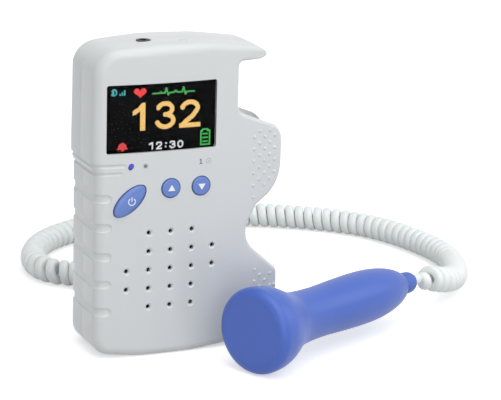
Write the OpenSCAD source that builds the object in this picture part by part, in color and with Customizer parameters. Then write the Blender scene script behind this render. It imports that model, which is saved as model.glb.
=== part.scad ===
// Fetal doppler monitor: a hand-held unit that stands on its flat base, and its probe on a curly cord.
// Frame: origin at the centre of the unit's base, +X to the right, +Y to the back, +Z up, in millimetres.

/* [Case] */
// Depth of the case from the front crest to the back crest
case_d = 40; // [36:0.5:44]
// Wall thickness of the case
wall = 2.2; // [1.6:0.1:2.6]
// Radius of the crowned front and back faces
crown_r = 231; // [200:1:400]
// Radius of the rounded edge round the front and the back
edge_r = 4.5; // [3:0.1:5]

/* [Display] */
// Width of the display window
window_w = 53.4; // [48:0.1:54]
// Height of the display window
window_h = 31.9; // [28:0.1:34]

/* [Speaker grille] */
// Radius of one grille hole
grille_hole_r = 0.95; // [0.6:0.05:1.4]
// Distance between two columns of grille holes
grille_pitch_x = 10.65; // [8:0.05:11]
// Distance between two rows of grille holes
grille_pitch_z = 8.89; // [7:0.01:9]

/* [Buttons] */
// Radius of the round up and down buttons
button_r = 4.35; // [3.5:0.05:5]
// Length of the oval power button
power_l = 19; // [15:0.5:21]
// Width of the oval power button
power_w = 8.8; // [6:0.1:10]
// Travel of every button
button_travel = 0.8; // [0.4:0.1:1]

/* [Batteries] */
// Radius of one cell
cell_r = 7.25; // [7:0.05:7.3]
// Length of one cell
cell_l = 50.5; // [49:0.1:51]

/* [Probe] */
// Largest radius of the probe's head
head_r = 20.3; // [18:0.1:21]
// Height of the probe's centre line at the middle of its face
probe_z = 20.5; // [20.3:0.1:24]
// Heading of the probe on the table, measured from +Y towards +X
probe_heading = 63; // [50:1:75]
// Fall of the probe's centre line towards its tail, in degrees
probe_fall = 1; // [0:0.5:3]

/* [Cord] */
// Diameter of the cable that the curls are wound from
cable_d = 4.6; // [3.6:0.1:4.6]
// Outer diameter of the curls
curl_d = 13; // [12:0.5:14]
// Free gap between two neighbouring curls, on the inside of a bend
curl_gap = 0.55; // [0.5:0.05:1]

/* [Hidden] */

$fn = 64;
half_d = case_d / 2;
crown_x = -2.7;      // where the crowned faces stand furthest out
crown_reach = 33;    // the crown is round this far either way, and straight beyond
case_grey = [0.86, 0.87, 0.88];
key_blue = [0.42, 0.52, 0.80];
probe_blue = [0.33, 0.41, 0.76];
black = [0.06, 0.06, 0.07];
steel = [0.72, 0.73, 0.75];
board_green = [0.10, 0.38, 0.22];

// ---- front outline of the case -------------------------------------------------------------
// One corner per row: x, z, corner radius, rounding of the front edge there.
side_edge = 1.7;
nose_edge = 0.8;
top_edge = edge_r + 1.3;
outline_corners = [
    [-36.1,   2.6,  8, edge_r],    [-14.0,   0.0,  40, edge_r],    [ 14.0,   0.0,  40, edge_r],
    [ 36.0,   1.6, 20, edge_r],    [ 57.4,   2.4,  13, side_edge], [ 57.2,  35.0,   5, side_edge],
    [ 36.9,  52.8, 12, side_edge], [ 45.2,  67.8,   5, side_edge], [ 58.2,  76.8,  20, side_edge],
    [ 58.3, 104.1,  9, side_edge], [ 34.5, 112.9,   6, side_edge], [ 34.5, 137.0, 2.2, side_edge],
    [ 46.5, 137.6,  6, nose_edge], [ 49.2, 139.6, 1.3, nose_edge], [ 47.6, 141.9,   3, nose_edge],
    [ 43.6, 143.7, 14, 2.2],       [ 25.0, 147.6,  60, edge_r],    [ -5.0, 148.5, 100, top_edge],
    [-36.5, 145.7, 13, edge_r],    [-37.3, 100.0,   0, edge_r],    [-37.3,  93.6,   8, edge_r],
    [-35.9,  88.4,  5, edge_r],    [-35.9,  30.0,   0, edge_r]];

function unit(v) = v / norm(v);
function lerp(a, b, t) = a + (b - a) * t;
function rot90(v) = [v[1], -v[0]];
function grow(range, g) = [range[0] - g, range[1] + g];
function about(middle, size) = [middle - size / 2, middle + size / 2];

// Points along one rounded corner b between a and c, as [x, z, outward x, outward z, edge].
function corner(a, b, c) =
    let (u = unit([b[0] - a[0], b[1] - a[1]]), v = unit([c[0] - b[0], c[1] - b[1]]),
         turn = atan2(u[0] * v[1] - u[1] * v[0], u * v),
         cut = b[2] * abs(tan(turn / 2)),
         from = [b[0], b[1]] - u * cut, side = sign(turn) * b[2],
         centre = from - rot90(u) * side,
         steps = b[2] == 0 ? 0 : max(2, ceil(abs(turn) / 14)))
    [for (i = [0 : steps])
        let (k = steps == 0 ? 0.5 : i / steps,
             out = [u[0] * cos(turn * k) - u[1] * sin(turn * k),
                    u[0] * sin(turn * k) + u[1] * cos(turn * k)],
             p = centre + rot90(out) * side)
        [p[0], p[1], rot90(out)[0], rot90(out)[1], b[3]]];

function rounded(list) =
    let (n = len(list))
    [for (i = [0 : n - 1]) each corner(list[(i + n - 1) % n], list[i], list[(i + 1) % n])];

// Long straight stretches of the outline are split, so that they follow the crowned faces.
max_step = 9;
function split(ring) =
    let (n = len(ring))
    [for (i = [0 : n - 1])
        let (p = ring[i], q = ring[(i + 1) % n], gap = abs(q[0] - p[0]), parts = max(1, ceil(gap / max_step)))
        for (k = [0 : parts - 1]) lerp(p, q, k / parts)];

outline = split(rounded(outline_corners));
echo(outline_points = len(outline));

// How far the crowned face has fallen back at x.
function crown(x) =
    let (d = abs(x - crown_x), in_reach = min(d, crown_reach),
         slope = crown_reach / sqrt(crown_r * crown_r - crown_reach * crown_reach))
    crown_r - sqrt(crown_r * crown_r - in_reach * in_reach) + max(0, d - crown_reach) * slope;
function face_y(x) = half_d - crown(x);

// The top slopes down a little from the front to the back, but not the hook at its right end.
top_fall = 1.6;
function fade(v, from, to) = min(1, max(0, (v - from) / (to - from)));
function fall(x, z, y) = top_fall * fade(z, 136, 146) * fade(x, 46, 26) * (y + half_d) / case_d;

// One ring round the outline: drawn in by a share of the edge's rounding, and raised by a share of it.
// The sides lean in by the draft, but the base stays square.
draft = 0.3;
function shell_ring(inset, rise, way) =
    [for (p = outline)
        let (e = p[4], off = draft * fade(p[3], -0.8, -0.2) + e * inset,
             x = p[0] - p[2] * off, z = p[1] - p[3] * off, y = way * (face_y(x) - e * (1 - rise)))
        [x, y, z - fall(x, p[1], y)]];
function flat_ring(ring, y) = [for (p = ring) [p[0], y, p[2]]];

function bands(rings, n) =
    [for (r = [0 : rings - 2], i = [0 : n - 1])
        let (a = r * n + i, b = r * n + (i + 1) % n, c = b + n, d = a + n)
        each [[a, b, c], [a, c, d]]];

// Walls and rounded edge of one half. It starts past the seam, and its flat end stands clear of the
// crowned face.
// way is -1 for the front half and 1 for the back half.
edge_angles = [0, 20, 40, 60, 78];
crest_rise = 1.03;
module edged_block(way) {
    n = len(outline);
    edge = [for (a = edge_angles) shell_ring(1 - cos(a), sin(a), way)];
    crest = shell_ring(crest_rise, crest_rise, way);
    past_seam = -way;
    seam = [for (p = outline) [p[0], past_seam, p[1] - fall(p[0], p[1], past_seam)]];
    rings = concat([seam], edge, [crest, flat_ring(crest, way * (half_d + 2))]);
    count = len(rings);
    faces = concat(bands(count, n), [[for (i = [n - 1 : -1 : 0]) i]],
                   [[for (i = [0 : n - 1]) (count - 1) * n + i]]);
    turned_over = [for (f = faces) [for (i = [len(f) - 1 : -1 : 0]) f[i]]];
    polyhedron([for (r = rings) each r], way > 0 ? faces : turned_over, convexity = 10);
}

// One half of the block that the case is made from.
face_steps = 26;
crown_from = -45;                    // the crown's flat steps start left of the case
crown_to = crown_x + crown_reach;    // from here on the face is straight
past_right = 65;
module half_block(way) {
    crown_line = [for (i = [0 : face_steps])
        let (x = lerp(crown_from, crown_to, i / face_steps)) [x, way * face_y(x)]];
    intersection() {
        edged_block(way);
        translate([0, 0, -10]) linear_extrude(175)
            polygon(concat([[crown_from, 0]], crown_line,
                           [[past_right, way * face_y(past_right)], [past_right, 0]]));
    }
}

// ---- inside of the case --------------------------------------------------------------------
cavity_corners = [
    [-33.7, 3.2, 5, 0], [33.8, 3.2, 3, 0], [33.8, 110, 3, 0], [26.4, 113, 3, 0], [26.4, 140, 3, 0],
    [27.0, 142.6, 3, 0], [-5, 143.6, 60, 0], [-33.0, 141.2, 10, 0]];
cradle_x = 50;          // the probe's centre line when it hangs in the unit
cradle_r = 13.3;        // room for its handle
pocket_r = 21.2;        // room for its head
pocket_z = [116.5, 136.6];

// The round solid whose surface is the crowned face, drawn in by an inset.
module crowned(way, inset) {
    translate([crown_x, -way * (crown_r - half_d), -5]) cylinder(r = crown_r - inset, h = 165, $fn = 900);
}

// A cut along Y of the cavity's outline, bounded by the crowned inner faces.
module cavity() {
    intersection() {
        translate([0, half_d + 5, 0]) rotate([90, 0, 0]) linear_extrude(case_d + 10)
            polygon([for (p = rounded(cavity_corners)) [p[0], p[1]]]);
        crowned(-1, wall);
        crowned(1, wall);
    }
}

module cradle() {
    translate([cradle_x, 0, -1]) cylinder(r = cradle_r, h = pocket_z[1] + 1);
    translate([cradle_x, 0, pocket_z[0]]) cylinder(r = pocket_r, h = pocket_z[1] - pocket_z[0]);
}

// Places: x and z on the front.
grille_x = 0.3;
grille_z = 42.2;
// Rows of the grille: which columns have a hole, counted from the middle column.
grille_rows = [[2, [-1, 0, 1]], [1, [-1, 0, 1, 2]], [0, [-2, -1, 0, 1, 2]],
               [-1, [-2, -1, 0, 1]], [-2, [-1, 0, 1]]];
function grille_hole(row, column) = [grille_x + column * grille_pitch_x, grille_z + row * grille_pitch_z];
power_at = [-19.8, 75.8];
power_tilt = 43;
up_at = [-0.1, 80.6];
down_at = [15.0, 80.4];
led_at = [-19.4, 91.9];
window_at = [-31.0, 98.2];
jack_at = [-9.0, -5.2];
screw_at = [[-27, 11], [27, 11], [-27, 137], [20, 138]];
board_screw_at = [[-28, 20], [27, 20], [-28, 92], [27, 92]];
clear = 0.12;

module rod(at, r, y0, y1, sides = 48) {
    translate([at[0], y0, at[1]]) rotate([-90, 0, 0]) cylinder(r = r, h = y1 - y0, $fn = sides);
}
module block(x, y, z) { translate([x[0], y[0], z[0]]) cube([x[1] - x[0], y[1] - y[0], z[1] - z[0]]); }

// The power button's leaf outline, grown by g.
leaf_steps = 40;
module leaf(g, y0, y1) {
    translate([power_at[0], y1, power_at[1]]) rotate([0, -power_tilt, 0]) rotate([90, 0, 0])
        linear_extrude(y1 - y0)
            polygon([for (i = [0 : leaf_steps - 1])
                let (a = 360 * i / leaf_steps)
                [(power_l / 2 + g) * cos(a), (power_w / 2 + g) * sin(a) * (0.93 + 0.07 * abs(sin(a)))]]);
}

inner_face = -half_d + wall;      // the front wall's inner face at the crest
front_cut = [-22, -14];           // depth of a hole through the front wall
board_y = [-9.6, -8];
boss_r = 3;
standoff_r = 2.4;
screw_r = 1.25;
board_screw_r = 0.9;
lamp_r = 1.5;
jack_socket_r = 3.4;
window_back = -16.4;
window_inset = 0.3;               // the window stands this far back from the crowned face

module front_case() {
    color(case_grey) difference() {
        union() {
            difference() {
                half_block(-1);
                cavity();
                cradle();
            }
            for (p = screw_at) rod(p, boss_r, inner_face + 0.8, -0.1);
            for (p = board_screw_at) rod(p, standoff_r, -17, board_y[0]);
        }
        block(window_x, [-25, -10], window_z);
        for (row = grille_rows, column = row[1])
            rod(grille_hole(row[0], column), grille_hole_r, front_cut[0], front_cut[1], 32);
        rod(up_at, button_r + clear, front_cut[0], front_cut[1]);
        rod(down_at, button_r + clear, front_cut[0], front_cut[1]);
        leaf(clear, front_cut[0], front_cut[1]);
        rod(led_at, lamp_r + 0.1, front_cut[0], front_cut[1], 32);
        for (p = screw_at) rod(p, screw_r, -12, 1, 32);
        for (p = board_screw_at) rod(p, board_screw_r, -14.5, -5, 32);
        translate([jack_at[0], jack_at[1], 140]) cylinder(r = jack_socket_r, h = 14);
    }
}

// ---- battery bay, door and back ------------------------------------------------------------
bay_x = [-16.1, 15.3];
bay_y = [0.9, 17.4];
bay_z = [37.5, 95];
bay_wall = 1.5;
door_x = [-19.6, 18.8];
door_z = [36.4, 98.4];
door_inner_y = 18;
door_gap = 0.2;
seat_rim = 2.5;
seat_y = [16.3, door_inner_y + 0.2];
hinge_y = 18.3;
hinge_z = 34;
barrel_r = 1.7;
hinge_pin_r = 0.8;
scoop_r = 5.6;
barrel_x = [-8.6, 7.8];
lug_x = [[door_x[0] + 1, barrel_x[0] - door_gap], [barrel_x[1] + door_gap, door_x[1] - 1]];
cord_exit = [12, 12];
screw_head_r = 2.3;
screw_seat_y = 14;

module hinge_rod(x, r) {
    translate([x[0], hinge_y, hinge_z]) rotate([0, 90, 0]) cylinder(r = r, h = x[1] - x[0], $fn = 48);
}
module rear_shell() {
    difference() {
        half_block(1);
        cavity();
        cradle();
    }
}
// The bay that holds the cells, with the ledge that the door closes on.
module battery_bay() {
    difference() {
        union() {
            block(grow(bay_x, bay_wall), [bay_y[0] - bay_wall, seat_y[0] + 0.5], grow(bay_z, bay_wall));
            block(grow(door_x, seat_rim), seat_y, [hinge_z - 3, door_z[1] + seat_rim]);
        }
        block(bay_x, [bay_y[0], 30], bay_z);
    }
}
module rear_case() {
    color(case_grey) difference() {
        union() {
            difference() {
                union() {
                    rear_shell();
                    battery_bay();
                    for (p = screw_at) rod(p, boss_r + 1.2, 0.1, 16.4);
                    rod(cord_exit, 6, 12, 18.5);
                }
                block(grow(door_x, door_gap), [door_inner_y, 25], [hinge_z, door_z[1] + door_gap]);
                hinge_rod(grow(door_x, door_gap), barrel_r + door_gap);
                for (p = screw_at) {
                    rod(p, screw_r + 0.15, -1, 20, 32);
                    rod(p, screw_head_r + 0.2, screw_seat_y, 25);
                }
                rod(cord_exit, 3.5, 8, 25);
            }
            for (x = lug_x) {
                hinge_rod(x, barrel_r);
                block(x, [17, 18.9], [31.2, hinge_z]);
            }
        }
        hinge_rod([lug_x[0][0] - 0.5, lug_x[1][1] + 0.5], hinge_pin_r);
    }
}

module battery_door() {
    color(case_grey) difference() {
        union() {
            intersection() {
                block(door_x, [door_inner_y + 0.05, 25], door_z);
                crowned(1, 0);
            }
            hinge_rod(barrel_x, barrel_r);
            block(barrel_x, [door_inner_y + 0.05, 19.2], [hinge_z, door_z[0] + 0.5]);
        }
        hinge_rod(grow(barrel_x, 1), hinge_pin_r + 0.05);
        // finger scoop at the top edge
        translate([-0.4, 24.2, door_z[1] - 6]) sphere(r = scoop_r, $fn = 96);
    }
}

module door_hinge_pin() {
    color(steel) hinge_rod([lug_x[0][0], lug_x[1][1]], hinge_pin_r);
}

screw_head_t = 1.6;
slot_w = 0.6;
slot_l = 3.2;
module case_screws() {
    color(steel) for (p = screw_at) difference() {
        union() {
            rod(p, screw_r, -11, screw_seat_y + 0.5, 32);
            rod(p, screw_head_r, screw_seat_y, screw_seat_y + screw_head_t);
        }
        for (size = [[slot_w, slot_l], [slot_l, slot_w]])
            block(about(p[0], size[0]), [screw_seat_y + 0.9, 20], about(p[1], size[1]));
    }
}

// ---- display --------------------------------------------------------------------------------
window_x = [window_at[0], window_at[0] + window_w];
window_z = [window_at[1], window_at[1] + window_h];
window_gap = 0.08;
panel_margin = 2.2;
panel_gap = 0.05;
frame_y = [-16.3, -11];
flange_w = 1.2;          // the frame's flange behind the case wall
flange_front = -15.6;
panel_back = -14.4;
backlight_back = -11.2;
ribbon_z = [101, 101.3];

module display_window() {
    color([0.1, 0.1, 0.12, 0.6]) intersection() {
        block(grow(window_x, -window_gap), [-half_d, window_back], grow(window_z, -window_gap));
        crowned(-1, window_inset);
    }
}
module display_frame() {
    color(black) difference() {
        union() {
            block(grow(window_x, -window_gap), frame_y, grow(window_z, -window_gap));
            block(grow(window_x, flange_w), [flange_front, frame_y[1]], grow(window_z, flange_w));
        }
        block(grow(window_x, -panel_margin), [-half_d, 0], grow(window_z, -panel_margin));
    }
}
module in_frame(y) {
    block(grow(window_x, -panel_margin - panel_gap), y, grow(window_z, -panel_margin - panel_gap));
}
module display_panel() { color([0.03, 0.03, 0.05]) in_frame([frame_y[0], panel_back]); }
module display_backlight() { color([0.92, 0.93, 0.95]) in_frame([panel_back, backlight_back]); }
module display_ribbon() { color([0.85, 0.55, 0.20]) block([-14, 4], [frame_y[1], board_y[0]], ribbon_z); }

// ---- main board and what stands on it ---------------------------------------------------------
board_x = [-31, 30.5];
board_z = [16, 134];
board_step = [24.5, 109];     // the board's corner beside the pocket is cut away from here on
board_screw_head_r = 1.9;
module main_board() {
    color(board_green) difference() {
        block(board_x, board_y, board_z);
        block([board_step[0], board_x[1] + 1], grow(board_y, 1), [board_step[1], board_z[1] + 1]);
        for (p = board_screw_at) rod(p, board_screw_r + 0.2, -12, -4, 32);
    }
}
module board_screws() {
    color(steel) for (p = board_screw_at) {
        rod(p, board_screw_r, -14, board_y[1] + 0.2, 32);
        rod(p, board_screw_head_r, board_y[1], board_y[1] + 1.2, 32);
    }
}
// Each chip on the board: its x range, its z range and its height.
chips = [[[-8, 4], [104, 116], 1.2], [[10, 19], [112, 121], 1.4],
         [[-25, -19], [100, 105], 1.6], [[20, 27], [60, 66], 2.4]];
module board_chips() {
    color(black) for (c = chips) block(c[0], [board_y[1], board_y[1] + c[2]], c[1]);
}
lens_y = [-19.7, -12.4];
led_size = [2.8, 1.8];
module status_lens() {
    color([0.15, 0.15, 0.75]) {
        rod(led_at, lamp_r, lens_y[0], lens_y[1], 32);
        rod(led_at, lamp_r + 0.9, lens_y[1] - 1.2, lens_y[1], 32);
    }
}
module status_led() {
    color([0.9, 0.9, 0.8])
        block(about(led_at[0], led_size[0]), [-11.6, board_y[0]], about(led_at[1], led_size[1]));
}

// ---- buttons and their switches -----------------------------------------------------------------
switch_y = [-13.1, board_y[0]];
plunger_top = -14.2;
plunger_r = 1.3;
flange_y = [-16.4, -15.4];

module round_button(at) {
    top = face_y(at[0]);
    color(key_blue) translate([at[0], 0, at[1]]) rotate([90, 0, 0])
        rotate_extrude($fn = 64) polygon([
            [0, -plunger_top], [2, -plunger_top], [2, -flange_y[1]], [button_r + 1, -flange_y[1]],
            [button_r + 1, -flange_y[0]], [button_r, -flange_y[0]], [button_r, top + 0.3],
            for (a = [15 : 15 : 75]) [button_r - 1 + cos(a), top + 0.3 + 0.8 * sin(a)],
            [button_r - 1, top + 1.1], [button_r - 2.2, top + 1.02], [0, top + 0.9]]);
}
module up_button() { round_button(up_at); }
module down_button() { round_button(down_at); }

module power_button() {
    top = -face_y(power_at[0]);
    color(key_blue) {
        leaf(0, top - 0.3, flange_y[0]);
        for (i = [1 : 4]) leaf(-0.28 * i * i / 2, top - 0.3 - 0.3 * i, top);
        leaf(0.8, flange_y[0], flange_y[1]);
        rod(power_at, 2, flange_y[1] - 0.1, plunger_top);
    }
}
module plunger(at) { color(black) rod(at, plunger_r, plunger_top, -11.6, 32); }
module power_plunger() { plunger(power_at); }
module up_plunger() { plunger(up_at); }
module down_plunger() { plunger(down_at); }
module tact_switch(at) {
    color([0.25, 0.25, 0.27]) difference() {
        block(about(at[0], 6), switch_y, about(at[1], 6));
        rod(at, plunger_r + 0.06, -20, -10.6, 32);
    }
}
module power_switch() { tact_switch(power_at); }
module up_switch() { tact_switch(up_at); }
module down_switch() { tact_switch(down_at); }

// ---- loudspeaker ----------------------------------------------------------------------------------
speaker_r = 18.5;
gasket_y = [-16.6, -15.6];
module turned(at, y) { translate([at[0], y, at[1]]) rotate([-90, 0, 0]) rotate_extrude($fn = 64) children(); }
speaker_at = [grille_x, grille_z];

module speaker_gasket() {
    color([0.2, 0.2, 0.2]) turned(speaker_at, gasket_y[0])
        polygon([[16.5, 0], [speaker_r, 0], [speaker_r, 1], [16.5, 1]]);
}
module grille_cloth() { color(black) rod(speaker_at, 16.4, gasket_y[0], gasket_y[0] + 0.3, 64); }
module speaker_basket() {
    color([0.35, 0.36, 0.38]) turned(speaker_at, gasket_y[1])
        polygon([[16.2, 0], [speaker_r, 0], [speaker_r, 1], [16.5, 1.2], [9.5, 4.1], [7.2, 4.1], [7.2, 3.5],
                 [9.2, 3.5], [16.2, 0.8]]);
}
module speaker_cone() {
    color([0.12, 0.12, 0.13]) turned(speaker_at, gasket_y[1])
        polygon([[0, 1.2], [4, 1.5], [5.5, 2.2], [10, 0.6], [14, 0.1], [16.1, 0], [16.1, 0.5], [14, 0.5],
                 [10, 1.0], [5.5, 2.6], [3.9, 2.0], [0, 1.7]]);
}
module speaker_magnet() { color(steel) rod(speaker_at, 7.1, -13, -10, 64); }

// ---- earphone jack -----------------------------------------------------------------------------------
jack_r = 1.8;
jack_top = 147.6;
jack_depth = 14;
jack_body_z = [131.8, 142.6];
module earphone_jack() {
    color(black) difference() {
        union() {
            block(about(jack_at[0], 2 * jack_socket_r), [board_y[1], jack_at[1] + 3.2], jack_body_z);
            translate([jack_at[0], jack_at[1], jack_body_z[1] - 0.6])
                cylinder(r = jack_socket_r - 0.1, h = jack_top - jack_body_z[1] + 0.6);
        }
        translate([jack_at[0], jack_at[1], jack_top - jack_depth]) cylinder(r = jack_r, h = 20, $fn = 48);
    }
}

// ---- batteries -----------------------------------------------------------------------------------------
cell_x = [-8.2, 7.4];
cell_y = 9.2;
cell_z0 = 40.9;
module battery_cells() {
    color([0.2, 0.32, 0.2]) for (i = [0, 1]) translate([cell_x[i], cell_y, cell_z0]) {
        cylinder(r = cell_r, h = cell_l - 1.5);
        translate([0, 0, i == 0 ? cell_l - 1.6 : -1]) cylinder(r = 2.7, h = i == 0 ? 1.6 : 1.1);
    }
}
module battery_contacts() {
    color(steel) {
        block([-13, 12.2], [cell_y - 5, cell_y + 5], [bay_z[1] - 0.4, bay_z[1]]);
        for (x = cell_x) block([x - 5, x + 5], [cell_y - 5, cell_y + 5], [bay_z[0], bay_z[0] + 0.4]);
        translate([cell_x[0], cell_y, cell_z0 + cell_l]) cylinder(r = 2, h = bay_z[1] - cell_z0 - cell_l - 0.2);
    }
}
module battery_springs() {
    color(steel) {
        translate([cell_x[0], cell_y, bay_z[0] + 0.4]) cylinder(r1 = 4.4, r2 = 3, h = 3);
        translate([cell_x[1], cell_y, cell_z0 + cell_l - 1.5])
            cylinder(r1 = 3, r2 = 4.4, h = bay_z[1] - 0.4 - cell_z0 - cell_l + 1.5);
        translate([cell_x[1], cell_y, bay_z[0] + 0.4]) cylinder(r = 2, h = 2);
    }
}

// ---- probe -----------------------------------------------------------------------------------------------
// The probe's own frame: +Z runs from its face to its tail.
// Distance from the face and radius, joined by a smooth curve.
probe_shape = [[4.6, head_r], [10, 19.9], [15, 18.5], [19, 16.7], [23, 14.9], [28, 13.2], [36, 12.3], [48, 12],
               [62, 12.45], [76, 12.75], [88, 12.4], [98, 11.1], [105, 9.3], [110, 7.2], [112.4, 5.4]];
face_r = 16.4;
face_t = 1.6;
probe_shell = 2;
probe_len = 122.5;
probe_at = [24.8, -59.6, probe_z];      // the middle of the probe's face

function spline(a, b, c, d, t) =
    0.5 * ((2 * b) + (c - a) * t + (2 * a - 5 * b + 4 * c - d) * t * t + (3 * b - a - 3 * c + d) * t * t * t);
function smooth(list, steps) =
    let (n = len(list))
    [for (i = [0 : n - 2], k = [0 : steps - 1])
        spline(list[max(0, i - 1)], list[i], list[i + 1], list[min(n - 1, i + 2)], k / steps), list[n - 1]];

rim_r = head_r - face_r;
hollow_shape = [for (p = probe_shape) if (p[0] > 12 && p[0] < 107) [p[0], p[1] - probe_shell]];
cord_hole_r = 2.65;
boot_neck_r = 2.6;
outer_shape = concat([[0, face_r]],
    [for (a = [15 : 15 : 75]) [4.6 * (1 - cos(a)), face_r + rim_r * sin(a)]],
    smooth(probe_shape, 3));

module place_probe() {
    translate(probe_at)
        rotate([0, 0, -probe_heading]) rotate([-90 - probe_fall, 0, 0]) children();
}
module turned_probe(points) {
    rotate_extrude($fn = 96) polygon([for (p = points) [p[1], p[0]]]);
}
module probe_housing() {
    color(probe_blue) place_probe() difference() {
        turned_probe(concat([[0, 0]], outer_shape, [[112.4, 0]]));
        translate([0, 0, -1]) cylinder(r = face_r - 0.6, h = 1 + face_t);
        translate([0, 0, -1]) cylinder(r = 14.6, h = 8);
        turned_probe(concat([[6.9, 0], [6.9, 14.6], [9, 15.5]], hollow_shape, [[107, 6], [107, 0]]));
        translate([0, 0, 100]) cylinder(r = cord_hole_r, h = 20);
    }
}
module probe_face() { color(probe_blue) place_probe() cylinder(r = face_r - 0.6, h = face_t); }
module half_disc(side) {
    place_probe() intersection() {
        translate([0, 0, face_t]) cylinder(r = 12, h = 1.4);
        translate([side > 0 ? 0.4 : -20.4, -20, 0]) cube([20, 40, 10]);
    }
}
module transmit_crystal() { color([0.85, 0.83, 0.75]) half_disc(1); }
module receive_crystal() { color([0.85, 0.83, 0.75]) half_disc(-1); }
module crystal_backing() {
    color([0.3, 0.28, 0.26]) place_probe() translate([0, 0, face_t + 1.4]) cylinder(r = 13, h = 4);
}
module probe_board() {
    color(board_green) place_probe() translate([-7, -0.8, 30]) cube([14, 1.6, 62]);
}
module cord_clamp() {
    color([0.2, 0.2, 0.22]) place_probe() difference() {
        translate([-5, -4, 94]) cube([10, 8, 7]);
        translate([0, 0, 90]) cylinder(r = cable_d / 2, h = 20, $fn = 48);
    }
}
module probe_boot() {
    color(probe_blue) place_probe() difference() {
        turned_probe([[105, 0], [105, boot_neck_r], [112.4, boot_neck_r], [112.4, 5.1], [114, 5.0],
                      [115.5, 5.25], [117.5, 5.3], [119.5, 5.0], [121, 4.3], [122, 3.4],
                      [probe_len, boot_neck_r], [probe_len, 0]]);
        translate([0, 0, 101]) cylinder(r = cable_d / 2, h = 30, $fn = 48);
    }
}

// ---- curly cord --------------------------------------------------------------------------------------------
cord_boot_end = 35;
module cord_boot() {
    color([0.93, 0.94, 0.93]) difference() {
        union() {
            rod(cord_exit, 3.45, 11, 20.5);
            rod(cord_exit, 5, 9.5, 12);
            translate([cord_exit[0], 20.5, cord_exit[1]]) rotate([-90, 0, 0])
                cylinder(r1 = 5, r2 = 3.2, h = cord_boot_end - 20.5);
        }
        rod(cord_exit, cable_d / 2, 8, 40);
    }
}

// The cord's centre line, chosen by hand: from the probe's tail round behind the unit to its back.
tail_way = [sin(probe_heading) * cos(probe_fall), cos(probe_heading) * cos(probe_fall), -sin(probe_fall)];
tail = probe_at + probe_len * tail_way;
cord_route = [
    tail, tail + 5.5 * tail_way, [147, 0.5, 17], [158, 7, 13.5], [170, 20, 10], [180, 38, 7.8],
    [187, 57, 6.8], [189, 75, 6.7], [187, 93, 6.7], [182, 113, 6.7], [173, 132, 6.7], [160, 147, 6.7],
    [143, 160, 6.7], [121, 172, 6.7], [95, 180, 6.7], [68, 183, 6.7], [42, 180, 6.7], [18, 171, 6.7],
    [-2, 157, 6.7], [-15, 138, 6.7], [-20, 118, 6.7], [-16, 104, 6.7], [-6, 95, 6.7], [4, 84, 6.7],
    [10, 70, 7], [12, 55, 9], [12, 43, 11.6], [12, 36, 12], [12, 26, 12], [12, 14, 12]];
route_steps = 10;
route = smooth(cord_route, route_steps);
route_n = len(route);
last_point = route_n - 1;
ways = [for (i = [0 : last_point]) unit(route[min(i + 1, last_point)] - route[max(i - 1, 0)])];
distance = [for (i = 0, d = 0; i < route_n;
                 d = d + (i < last_point ? norm(route[i + 1] - route[i]) : 0), i = i + 1) d];
cord_end = distance[last_point];
curl_r = (curl_d - cable_d) / 2;
curl_from = cable_d + 0.6;                                 // straight at the probe's tail
curl_to = cord_end - (cord_boot_end - 14) - cable_d - 0.6; // straight into the unit

// The curls stand further apart in a bend, so that its inside keeps its gap.
function bend(i) = norm(ways[min(i + 1, last_point)] - ways[max(i - 1, 0)])
                   / (distance[min(i + 1, last_point)] - distance[max(i - 1, 0)]);
function pitch(i) = (cable_d + curl_gap) / (1 - curl_r * bend(i));
pitches = [for (i = [0 : last_point]) pitch(i)];
function curled(a, b) = max(0, min(b, curl_to) - max(a, curl_from));
turns = [for (i = 0, t = 0; i < route_n;
              t = t + (i < last_point ? curled(distance[i], distance[i + 1]) / pitches[i] : 0), i = i + 1) t];
turn_count = turns[last_point];

route_x = [for (i = [0 : last_point]) [distance[i], route[i][0]]];
route_y = [for (i = [0 : last_point]) [distance[i], route[i][1]]];
route_z = [for (i = [0 : last_point]) [distance[i], route[i][2]]];
way_x = [for (i = [0 : last_point]) [distance[i], ways[i][0]]];
way_y = [for (i = [0 : last_point]) [distance[i], ways[i][1]]];
way_z = [for (i = [0 : last_point]) [distance[i], ways[i][2]]];
turn_table = [for (i = [0 : last_point])
    if (distance[i] > curl_from && distance[i] < curl_to) [turns[i], distance[i]]];
turn_distance = concat([[0, curl_from]], turn_table, [[turn_count, curl_to]]);
function place(d) = [lookup(d, route_x), lookup(d, route_y), lookup(d, route_z)];
function heading(d) = unit([lookup(d, way_x), lookup(d, way_y), lookup(d, way_z)]);
function side_of(t) = unit([-t[1], t[0], 0]);
function radial(t, a) = cos(a) * side_of(t) + sin(a) * cross(t, side_of(t));
function ease(x) = x <= 0 ? 0 : x >= 1 ? 1 : x * x * (3 - 2 * x);

curl_rings = 8;
ring_count = floor(turn_count * curl_rings);
// Every ring's centre and the direction its first corner faces.
curl_line = [for (k = [0 : ring_count])
    let (t = k / curl_rings, d = lookup(t, turn_distance), w = heading(d), out = radial(w, 360 * t),
         r = curl_r * ease(t) * ease(ring_count / curl_rings - t))
    [place(d) + r * out, out]];
function straight(d, out) = [place(d), out];
cord_line = concat(
    [straight(0, curl_line[0][1]), straight(curl_from * 0.6, curl_line[0][1])],
    curl_line,
    [for (k = [1 : 3]) straight(lerp(curl_to, cord_end, k / 3), curl_line[ring_count][1])]);
cord_sides = 6;
cord_n = len(cord_line);
function cord_ring(i) =
    let (t = unit(cord_line[min(i + 1, cord_n - 1)][0] - cord_line[max(i - 1, 0)][0]),
         o = cord_line[i][1], e = unit(o - t * (o * t)), b = cross(t, e))
    [for (k = [0 : cord_sides - 1])
        let (a = 360 * k / cord_sides) cord_line[i][0] + cable_d / 2 * (cos(a) * e + sin(a) * b)];

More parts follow.
